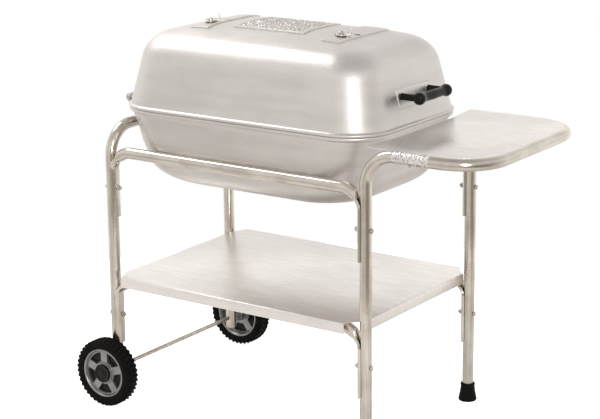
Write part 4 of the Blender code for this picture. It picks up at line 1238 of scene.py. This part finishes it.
@dataclass
class SwingDamper:
    """Pear-shaped plate with an upright finger tab, which swings on a bolt over a vent."""

    shop: Workshop
    name: str
    bolt_node: str
    centre: Vector
    normal: Vector
    holder: Body
    low: float
    vent_reach: float = 0.044
    vent_angle: float = 70.0
    rest_angle: float = 125.0
    tab_angle: float = 40.0
    hub_r: float = 0.0120
    end_r: float = 0.0145
    thick: float = 0.0025
    tab_reach: float = 0.022

    def build(self) -> None:
        """Makes the plate with its tab, and the bolt."""
        place = surface_frame(self.centre, self.normal)
        turn = self.rest_angle
        outline = arc((0, 0), self.hub_r, turn + 85, turn + 275, 16)
        outline += arc(polar(self.vent_reach, turn), self.end_r, turn - 85, turn + 85, 18)
        plate = Shape(f"{self.name}_plate").prism(outline, self.low, self.low + self.thick, place)
        top = self.low + 0.0165
        fold = arc((self.tab_reach - 0.0022 - 0.0016, self.low + 0.0046), 0.0016, -90, 0, 5)
        rise = [(0.0070, self.low + 0.0008), (self.tab_reach - 0.0014, self.low + 0.0008),
                (self.tab_reach, self.low + 0.0024), (self.tab_reach, top - 0.0020),
                (self.tab_reach - 0.0006, top), (self.tab_reach - 0.0016, top),
                (self.tab_reach - 0.0022, top - 0.0020), *reversed(fold), (0.0070, self.low + 0.0030)]
        stand = place @ Matrix.Rotation(math.radians(self.tab_angle), 4, "Z")
        rings = [[Vector((x, y, z)) for x, z in rise] for y in (-0.0055, 0.0055)]
        plate.body(rings, place=stand)
        self.shop.piece(plate, Slot.CAST, self.name, [self.name], bevel=0.0005)
        head = self.low + self.thick + 0.0003
        profile = [(0.0, head + 0.0060), (0.0024, head + 0.0057), (0.0044, head + 0.0046),
                   (0.0055, head + 0.0030), (0.0055, head + 0.0012), (0.0062, head + 0.0010),
                   (0.0062, head), (0.0025, head), (0.0025, -0.010), (0.0, -0.010)]
        bolt = Shape(self.bolt_node + "_knob").turned(profile, self.centre, self.normal, 24)
        slot = Shape("slot").prism([(-0.0006, -0.007), (0.0006, -0.007), (0.0006, 0.007),
                                    (-0.0006, 0.007)], head + 0.0044, head + 0.008, stand)
        self.shop.piece(bolt, Slot.STEEL, self.holder, [self.bolt_node], cutters=[slot])

    def vent(self, radius: float = 0.0075) -> Shape:
        """Cutter for the vent that the damper covers."""
        place = surface_frame(self.centre, self.normal)
        x, y = polar(self.vent_reach, self.vent_angle)
        outline = arc((x, y), radius, 0, 345, 23)
        return Shape("vent").prism(outline, -0.02, 0.02, place)


@dataclass
class BaseTub:
    """Lower casting: bead rim, drafted walls, rounded belly, grate ledge, and two air inlets."""

    shop: Workshop
    rim_z: float = 0.6840
    wall: float = 0.0045
    bead: tuple[float, float, float] = (0.334, 0.2105, 0.099)
    wall_xy: tuple[float, float] = (0.327, 0.2062)
    shoulder_z: float = 0.606
    belly_z: float = 0.588
    bottom_z: float = 0.5165
    ledge_z: float = 0.6480
    damper_x: float = 0.078

    def build(self) -> None:
        """Makes the casting and the dampers under it."""
        dampers = []
        for label, side in ENDS:
            centre = Vector((side * self.damper_x, 0, self.bottom_z))
            dampers.append(SwingDamper(self.shop, f"base_damper_{label}", f"base_damper_bolt_{label}",
                                       centre, Vector((0, 0, -1)), Body.CAPSULE, 0.0003))
        outside = self.outside()
        inner = shrunk(self.lower(), self.wall, self.rim_z)
        x, y = self.wall_xy
        mouth = [(self.bead[0] - 0.0125, self.bead[1] - 0.0085, 0.0925, self.rim_z),
                 (self.bead[0] - 0.0130, self.bead[1] - 0.0090, 0.092, self.rim_z - 0.0006),
                 (x - 0.0165, y - 0.0060, 0.096, self.ledge_z), (x - 0.022, y - 0.0115, 0.098, self.ledge_z)]
        rings = [rounded_rectangle(*s) for s in [*reversed(outside), *mouth, *inner]]
        shape = Shape("tub_casting").body(rings)
        self.shop.piece(shape, Slot.CAST, Body.CAPSULE, ["base_tub"], crease=32,
                        cutters=[d.vent() for d in dampers])
        for damper in dampers:
            damper.build()

    def outside(self) -> list[Section]:
        """Outer sections from the rim to the bottom."""
        x, y, corner = self.bead
        bead = []
        for k in range(9):
            c, s = polar(1.0, 90 - 180 * k / 8)
            bead.append((x - 0.0028 + 0.0028 * c, y - 0.0028 + 0.0028 * c, corner - 0.0028 + 0.0028 * c,
                         self.rim_z - 0.0040 + (0.0040 if s > 0 else 0.0042) * s))
        wall = (self.wall_xy[0], self.wall_xy[1], 0.096, self.rim_z - 0.0105)
        knee = (self.wall_xy[0] - 0.010, self.wall_xy[1] - 0.0015, 0.100, 0.645)
        return [*bead, wall, *between(wall, knee, 3), *self.lower()]

    def lower(self) -> list[Section]:
        """Sections from the shoulder, round the belly, to the flat bottom."""
        x, y = self.wall_xy
        knee = (x - 0.010, y - 0.0015, 0.100, 0.645)
        shoulder = (x - 0.018, y - 0.0030, 0.108, self.shoulder_z)
        sections = between(knee, shoulder, 3)
        belly = (x - 0.024, y - 0.0042, 0.112, self.belly_z)
        sections += between(shoulder, belly, 2)[:-1]
        for step in range(19):
            turn = math.radians(90 * step / 18)
            along = 1 - math.cos(turn)
            sections.append((belly[0] - 0.112 * along, belly[1] - 0.078 * along, belly[2] - 0.030 * along,
                             self.belly_z - (self.belly_z - self.bottom_z) * math.sin(turn)))
        return sections


@dataclass
class Lid:
    """Upper casting: flange, drafted walls, crowned roof, raised pads, vents and handle boss."""

    shop: Workshop
    rim_z: float = 0.6846
    wall: float = 0.0045
    flange: tuple[float, float, float] = (0.336, 0.2125, 0.1015)
    side: tuple[float, float, float] = (0.330, 0.2064, 0.0955)
    wall_z: float = 0.694
    draft: float = math.radians(13)
    turn_z: float = 0.797
    turn_r: float = 0.068
    eave: float = math.radians(19)
    stretch: float = 1.55
    pad_height: float = 0.0030
    pad_x: tuple = (("left", -0.195, -0.148), ("right", 0.148, 0.195))
    pad_half_y: float = 0.098
    centre_pad: tuple[float, float, float] = (-0.095, 0.088, 0.072)
    pivot_y: float = -0.055
    handle_z: float = 0.7500
    post_y: float = 0.0535
    handle_pad: float = 0.0020
    flange_rows: int = 9
    pad_border: float = 0.0070
    pad_root: float = 0.0015
    field_pitch: float = 0.0018
    plain_pitch: float = 0.006
    pebble_height: float = 0.0017

    def build(self) -> None:
        """Makes the casting, its pads, boss and dampers."""
        outside = self.outside()
        mouth = [(self.flange[0] - 0.0105, self.flange[1] - 0.0105, 0.090, self.rim_z)]
        inner = shrunk(outside[self.flange_rows:], self.wall, self.rim_z)
        rings = [rounded_rectangle(*s) for s in [*reversed(outside), *mouth, *inner]]
        shape = Shape("lid_casting").body(rings)
        roof = BVHTree.FromBMesh(shape.bm)
        dampers, pads = [], []
        for label, low, high in self.pad_x:
            point, normal = self.above(roof, (low + high) / 2, self.pivot_y)
            seat = point + normal * self.pad_height
            dampers.append(SwingDamper(self.shop, f"lid_damper_{label}", f"lid_damper_bolt_{label}",
                                       seat, normal, Body.LID, 0.0022))
            pads.append(self.pad(f"roof_pad_{label}", roof, (low, high), self.pad_half_y, 0.0))
        self.shop.piece(shape, Slot.CAST, Body.LID, ["lid"], crease=32,
                        cutters=[d.vent() for d in dampers])
        for pad, damper in zip(pads, dampers):
            self.shop.piece(pad, Slot.CAST, Body.LID, bevel=0.0007, cutters=[damper.vent()])
            damper.build()
        low, high, half = self.centre_pad
        centre = self.pad("roof_pad_centre", roof, (low, high), half, 0.0016)
        self.shop.piece(centre, Slot.CAST, Body.LID, bevel=0.0005, crease=60)
        self.build_boss()

    def outside(self) -> list[Section]:
        """Outer sections from the flange to the crown."""
        x, y, corner = self.flange
        sections: list[Section] = []
        for k in range(7):
            c, s = polar(1.0, -90 + 180 * k / 6)
            sections.append((x - 0.0022 + 0.0022 * c, y - 0.0022 + 0.0022 * c,
                             corner - 0.0022 + 0.0022 * c, self.rim_z + 0.0030 + 0.0030 * s))
        x, y, corner = self.side
        sections.append((x + 0.0026, y + 0.0026, corner + 0.0026, self.wall_z - 0.0030))
        sections.append((x + 0.0008, y + 0.0008, corner + 0.0008, self.wall_z - 0.0016))

        def section(inset_x: float, inset_y: float, z: float) -> Section:
            """The wall's outline moved in, with its corners growing tighter."""
            return (x - inset_x, y - inset_y, max(0.012, corner - 0.55 * inset_y), z)

        lean, rise = math.tan(self.draft), self.turn_z - self.wall_z
        sections += [section(share / 6 * rise * lean, share / 6 * rise * lean,
                             self.wall_z + share / 6 * rise) for share in range(7)]
        inset, start = rise * lean, math.pi / 2 - self.draft
        run = inset
        for step in range(1, 19):
            heading = start + (self.eave - start) * step / 18
            run = inset + self.turn_r * (math.sin(start) - math.sin(heading))
            height = self.turn_r * (math.cos(heading) - math.cos(start))
            sections.append(section(run, run, self.turn_z + height))
        inset, z = run, sections[-1][3]
        crown = y - inset - 0.016
        crown_radius = crown / math.sin(self.eave)
        for step in range(1, 15):
            heading = self.eave * (1 - step / 14)
            run = crown - crown_radius * math.sin(heading)
            height = crown_radius * (math.cos(heading) - math.cos(self.eave))
            sections.append(section(inset + run * self.stretch, inset + run, z + height))
        return sections

    def above(self, roof: BVHTree, x: float, y: float) -> tuple[Vector, Vector]:
        """Point and normal of the roof straight above (x, y)."""
        point, normal, _, _ = roof.ray_cast(Vector((x, y, 1.2)), Vector((0, 0, -1)))
        return point, normal

    def pad(self, name: str, roof: BVHTree, across: tuple[float, float], half_y: float, sink: float
            ) -> Shape:
        """Raised panel that follows the roof, with a sunk pebbled field where asked.

        Args:
            name: The piece's name.
            roof: The roof's surface.
            across: The panel's reach in X.
            half_y: Half its reach in Y.
            sink: How far the field lies below its border, or 0 for a plain panel.

        Returns:
            The panel's shape.
        """
        pitch = self.field_pitch if sink else self.plain_pitch
        columns = max(4, round((across[1] - across[0]) / pitch))
        rows = max(4, round(2 * half_y / pitch))
        shape = Shape(name)
        bm = shape.bm
        layers: list[list[list[bmesh.types.BMVert]]] = [[], []]
        for i in range(columns + 1):
            x = across[0] + (across[1] - across[0]) * i / columns
            for layer in layers:
                layer.append([])
            for j in range(rows + 1):
                y = half_y * (2 * j / rows - 1)
                point, _ = self.above(roof, x, y)
                inside = min(x - across[0], across[1] - x, half_y - abs(y)) - self.pad_border
                lift = self.pad_height - sink * min(1.0, max(0.0, inside / 0.0016))
                if sink and inside > 0:
                    rubble = noise.noise(Vector((x, y, 0.3)) * 230)
                    rubble += 0.6 * noise.noise(Vector((y, x, 2.0)) * 420)
                    lift += self.pebble_height * max(-0.6, min(0.9, rubble * 1.5)) * min(1.0, inside / 0.003)
                layers[0][-1].append(bm.verts.new(point + Vector((0, 0, lift))))
                layers[1][-1].append(bm.verts.new(point - Vector((0, 0, self.pad_root))))
        for grid in layers:
            for one, other in zip(grid, grid[1:]):
                for j in range(rows):
                    bm.faces.new((one[j], one[j + 1], other[j + 1], other[j]))
        rims = [self.rim(grid) for grid in layers]
        for i in range(len(rims[0])):
            j = (i + 1) % len(rims[0])
            bm.faces.new((rims[0][i], rims[0][j], rims[1][j], rims[1][i]))
        shape.face_out(list(bm.faces))
        return shape

    def rim(self, grid: list[list[bmesh.types.BMVert]]) -> list[bmesh.types.BMVert]:
        """The outer loop of a grid of vertices."""
        inner = grid[1:-1]
        return [*grid[0], *(row[-1] for row in inner), *reversed(grid[-1]),
                *(row[0] for row in reversed(inner))]

    def end_wall_x(self, z: float) -> float:
        """Outer face of the end wall at a height."""
        return self.side[0] - (z - self.wall_z) * math.tan(self.draft)

    def build_boss(self) -> None:
        """Upright pad that the handle's posts are screwed against."""
        low, high = self.handle_z - 0.028, self.handle_z + 0.016
        outline = [(self.end_wall_x(z) + offset, z) for z, offset in
                   ((low, -self.handle_pad), (low + 0.004, self.handle_pad), (high - 0.002, self.handle_pad),
                    (high, -self.handle_pad))]
        reach = self.post_y + 0.012
        shape = Shape("handle_boss").upright(outline, -reach, reach)
        self.shop.piece(shape, Slot.CAST, Body.LID, bevel=0.0010)


@dataclass
class Handle:
    """Turned grip on two posts, screwed on from inside the lid."""

    shop: Workshop
    lid: Lid
    grip_x: float = 0.3640
    post_r: float = 0.0072

    def build(self) -> None:
        """Makes the posts, screws and grip."""
        lid = self.lid
        start = lid.end_wall_x(lid.handle_z - self.post_r) + lid.handle_pad + 0.0003
        end = self.grip_x - 0.0100
        for label, side in SIDES:
            y = side * lid.post_y
            length = end - start
            profile = [(0.0, length), (self.post_r, length), (self.post_r, 0.0012),
                       (self.post_r + 0.0006, 0.0004), (self.post_r + 0.0004, 0.0), (0.0, 0.0)]
            post = Shape(f"grip_post_{label}").turned(profile, (start, y, lid.handle_z), (1, 0, 0), 32)
            self.shop.piece(post, Slot.HANDLE, Body.LID, [f"handle_post_{label}"], crease=50)
            head_x = lid.end_wall_x(lid.handle_z) - lid.wall - 0.0018
            screw = [(0.0, -0.003), (0.0030, -0.0028), (0.0050, -0.0018), (0.0055, 0.0), (0.0020, 0.0),
                     (0.0020, 0.0048), (0.0, 0.0048)]
            shape = Shape(f"grip_screw_{label}").turned(screw, (head_x, y, lid.handle_z), (1, 0, 0), 24)
            self.shop.piece(shape, Slot.STEEL, Body.LID, [f"handle_screw_{label}"], crease=50)
        half = lid.post_y + 0.0115
        bulb = [(0.0035, -half + 0.0002), (0.0075, -half + 0.0012), (0.0110, -half + 0.0038),
                (0.0129, -half + 0.0078), (0.0132, -half + 0.0115), (0.0127, -half + 0.0158),
                (0.0110, -half + 0.0220), (0.0097, -half + 0.0300)]
        middle = [(0.0101, -0.014), (0.0105, 0.0), (0.0101, 0.014)]
        line = smooth_profile([*bulb, *middle, *((r, -h) for r, h in reversed(bulb))])
        profile = [(0.0, -half), *line, (0.0, half)]
        grip = Shape("turned_grip").turned(profile, (self.grip_x, 0, lid.handle_z), (0, 1, 0), 36)
        self.shop.piece(grip, Slot.HANDLE, Body.LID, ["handle_grip"], crease=60)


@dataclass
class WireGrate:
    """Welded grate: a rounded border rod, cross rods, and runners under them."""

    shop: Workshop
    name: str
    node: str
    body: Body
    half_x: float
    half_y: float
    corner: float
    z: float
    rods: int
    rod_r: float = 0.0029

    def build(self) -> None:
        """Makes the whole grate as one welded piece."""
        rim = 0.0030
        loop = rounded_rectangle(self.half_x - rim, self.half_y - rim, self.corner - rim, self.z + rim, 12)
        rings = []
        for before, point, after in zip([loop[-1], *loop], loop, [*loop[1:], loop[0]]):
            direction = (after - before).normalized()
            side = direction.cross(Vector((0, 0, 1)))
            rings.append([point + rim * (c * side + s * Vector((0, 0, 1)))
                          for c, s in (polar(1.0, 45 * k) for k in range(8))])
        shape = Shape(self.name).body(rings, closed=True)
        reach = self.half_x - 0.016
        for k in range(self.rods):
            x = reach * (2 * k / (self.rods - 1) - 1)
            overrun = max(0.0, abs(x) - (self.half_x - self.corner))
            side = self.half_y - self.corner + math.sqrt(self.corner ** 2 - overrun ** 2) - rim
            shape.bead([Vector((x, y, self.z + 0.0030)) for y in (-side, 0.0, side)], self.rod_r, 8)
        for y in (-0.55 * self.half_y, 0.0, 0.55 * self.half_y):
            shape.bead([Vector((x, y, self.z + 0.0016)) for x in (-self.half_x + rim, 0.0,
                                                                 self.half_x - rim)], 0.0016, 8)
        self.shop.piece(shape, Slot.GRATE, self.body, [self.node])


# ---------------------------------------------------------------- studio

@dataclass
class Studio:
    """Pale floor, white surroundings, soft lights and the camera."""

    shop: Workshop
    azimuth: float = 34.6316
    elevation: float = 15.0364
    roll: float = -0.5461
    distance: float = 4.1159
    target: tuple[float, float, float] = (0.0338, 0.0, 0.4480)
    lens: float = 111.08
    shift: tuple[float, float] = (-0.0059, 0.0046)

    def build(self) -> None:
        """Sets up everything that isn't the grill."""
        scene = bpy.context.scene
        scene.view_settings.view_transform = "Standard"
        self.build_floor()
        self.build_world()
        self.soft_light("overhead_left", (-1.20, -0.12, 2.00), (-0.15, -0.10, 0.80), (0.8, 0.8), 12.0)
        self.soft_light("beside_camera", (1.72, -1.86, 1.25), (0.19, -0.19, 0.72), (0.42, 1.3), 17.0)
        self.soft_light("back_right", (1.6, 2.0, 1.5), (0.2, 0.0, 0.6), (1.2, 1.2), 8.0, shows=False)
        self.build_camera()

    def build_floor(self) -> None:
        """A pale disc under the grill."""
        bm = bmesh.new()
        bmesh.ops.create_circle(bm, cap_ends=True, segments=96, radius=1.35)
        mesh = bpy.data.meshes.new("floor")
        bm.to_mesh(mesh)
        bm.free()
        floor = bpy.data.objects.new("floor", mesh)
        bpy.context.scene.collection.objects.link(floor)
        material = bpy.data.materials.new("pale_floor")
        material.use_nodes = True
        graph = Graph(material.node_tree)
        shader = material.node_tree.nodes["Principled BSDF"]
        place = graph.add("TexCoord").outputs["Object"]
        tone = MOTTLE.place(graph, {"Vector": place, "Scale": 2.0, "Speckle": 60.0,
                                    "Speckle Share": 0.2})["Tone"]
        graph.feed(shader.inputs["Base Color"],
                   graph.blend(tone, (0.86, 0.845, 0.83, 1), (0.90, 0.885, 0.87, 1)))
        shader.inputs["Roughness"].default_value = 0.7
        shader.inputs["Emission Color"].default_value = (1.0, 1.0, 1.0, 1.0)
        seen = graph.add("LightPath").outputs["Is Camera Ray"]
        graph.feed(shader.inputs["Emission Strength"], graph.math("MULTIPLY", seen, 0.85))
        floor.data.materials.append(material)

    def build_world(self) -> None:
        """White behind the grill; grey overhead and a dimmer room in front, for the metal."""
        world = bpy.data.worlds.new("studio")
        bpy.context.scene.world = world
        world.use_nodes = True
        graph = Graph(world.node_tree)
        for node in list(world.node_tree.nodes):
            world.node_tree.nodes.remove(node)
        direction = graph.add("TexCoord").outputs["Generated"]
        height = graph.add("SeparateXYZ", {0: direction}).outputs[2]
        backward = graph.add("VectorMath", {0: direction, 1: (-0.50, 0.86, 0.0)},
                             operation="DOT_PRODUCT").outputs["Value"]
        behind = graph.spread(backward, -0.35, 0.45, 0.0, 1.0)
        low = graph.spread(height, 0.30, 0.62, 1.0, 0.0)
        wall = graph.math("MULTIPLY", behind, low)
        room = graph.blend(graph.spread(height, -0.25, 0.35, 0.0, 1.0), (0.74, 0.71, 0.67, 1),
                           (0.90, 0.88, 0.86, 1))
        room = graph.blend(graph.spread(height, 0.55, 0.95, 0.0, 1.0), room, (0.60, 0.585, 0.57, 1))
        beside = graph.add("VectorMath", {0: direction, 1: (0.90, -0.44, 0.0)},
                           operation="DOT_PRODUCT").outputs["Value"]
        dim = graph.math("MULTIPLY", graph.spread(beside, 0.66, 0.95, 0.0, 0.85),
                         graph.spread(height, 0.02, 0.30, 1.0, 0.0))
        room = graph.blend(dim, room, (0.30, 0.27, 0.21, 1))
        surround = graph.blend(wall, room, (1.06, 1.035, 1.0, 1))
        seen = graph.add("LightPath").outputs["Is Camera Ray"]
        lit = graph.add("Background", {"Color": surround, "Strength": 1.0})
        white = graph.add("Background", {"Color": (1.0, 1.0, 1.0, 1.0), "Strength": 1.0})
        mixed = graph.add("MixShader", {0: seen, 1: lit.outputs[0], 2: white.outputs[0]})
        graph.add("OutputWorld", {"Surface": mixed.outputs[0]})

    def soft_light(self, name: str, where: Sequence[float], at: Sequence[float],
                   size: tuple[float, float], power: float, shows: bool = True) -> None:
        """Adds an area light that the camera doesn't see.

        Args:
            name: The light's name.
            where: Its place.
            at: The point that it faces.
            size: Width and height.
            power: Watts.
            shows: Whether it shows in polished metal.
        """
        lamp = bpy.data.lights.new(name, "AREA")
        lamp.shape = "RECTANGLE"
        lamp.size, lamp.size_y = size
        lamp.energy = power
        lamp.color = (1.0, 0.985, 0.96)
        light = bpy.data.objects.new(name, lamp)
        light.location = Vector(where)
        light.rotation_euler = (Vector(at) - Vector(where)).to_track_quat("-Z", "Y").to_euler()
        light.visible_camera = False
        light.visible_glossy = shows
        bpy.context.scene.collection.objects.link(light)

    def build_camera(self) -> None:
        """Camera above and to the right of the front, slightly rolled."""
        az, el, roll = (math.radians(a) for a in (self.azimuth, self.elevation, self.roll))
        back = Vector((math.sin(az) * math.cos(el), -math.cos(az) * math.cos(el), math.sin(el)))
        right = Vector((math.cos(az), math.sin(az), 0))
        up = back.cross(right)
        across = math.cos(roll) * right + math.sin(roll) * up
        upward = math.cos(roll) * up - math.sin(roll) * right
        matrix = Matrix((across, upward, back)).transposed().to_4x4()
        matrix.translation = Vector(self.target) + Vector((self.shop.root_x, 0, 0)) + back * self.distance
        data = bpy.data.cameras.new("camera")
        data.lens = self.lens
        data.sensor_width = 36.0
        data.shift_x, data.shift_y = self.shift
        camera = bpy.data.objects.new("camera", data)
        camera.matrix_world = matrix
        bpy.context.scene.collection.objects.link(camera)
        bpy.context.scene.camera = camera


def middle(node: str) -> Vector:
    """Centre of a CAD node's box."""
    low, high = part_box(node)
    return (low + high) / 2


def main() -> None:
    """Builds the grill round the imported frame."""
    logging.basicConfig(level=logging.INFO, format="%(name)s: %(message)s")
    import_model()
    foot, wheel = middle("foot_back"), middle("tyre_back")
    shop = Workshop(root_x=(foot.x + wheel.x) / 2)
    shop.mix_finishes()
    cart = TubeCart(shop, leg_x=(foot.x - wheel.x) / 2, leg_y=foot.y)
    cart.build()
    SaddleBolts(shop, cart).build()
    Shelves(shop, cart).build()
    WheelSet(shop, axle_x=-cart.leg_x, radius=wheel.z).build()
    Feet(shop, cart).build()
    BaseTub(shop).build()
    Hinge(shop).build()
    lid = Lid(shop)
    lid.build()
    Handle(shop, lid).build()
    WireGrate(shop, "cooking_grid", "cooking_grate", Body.COOKING, 0.309, 0.1984, 0.093, 0.6483, 22).build()
    WireGrate(shop, "charcoal_grid", "charcoal_grate", Body.CHARCOAL, 0.262, 0.170, 0.090, 0.5410, 16).build()
    Studio(shop).build()
    LOG.info("%d pieces", len(shop.made))


if __name__ == "__main__":
    main()
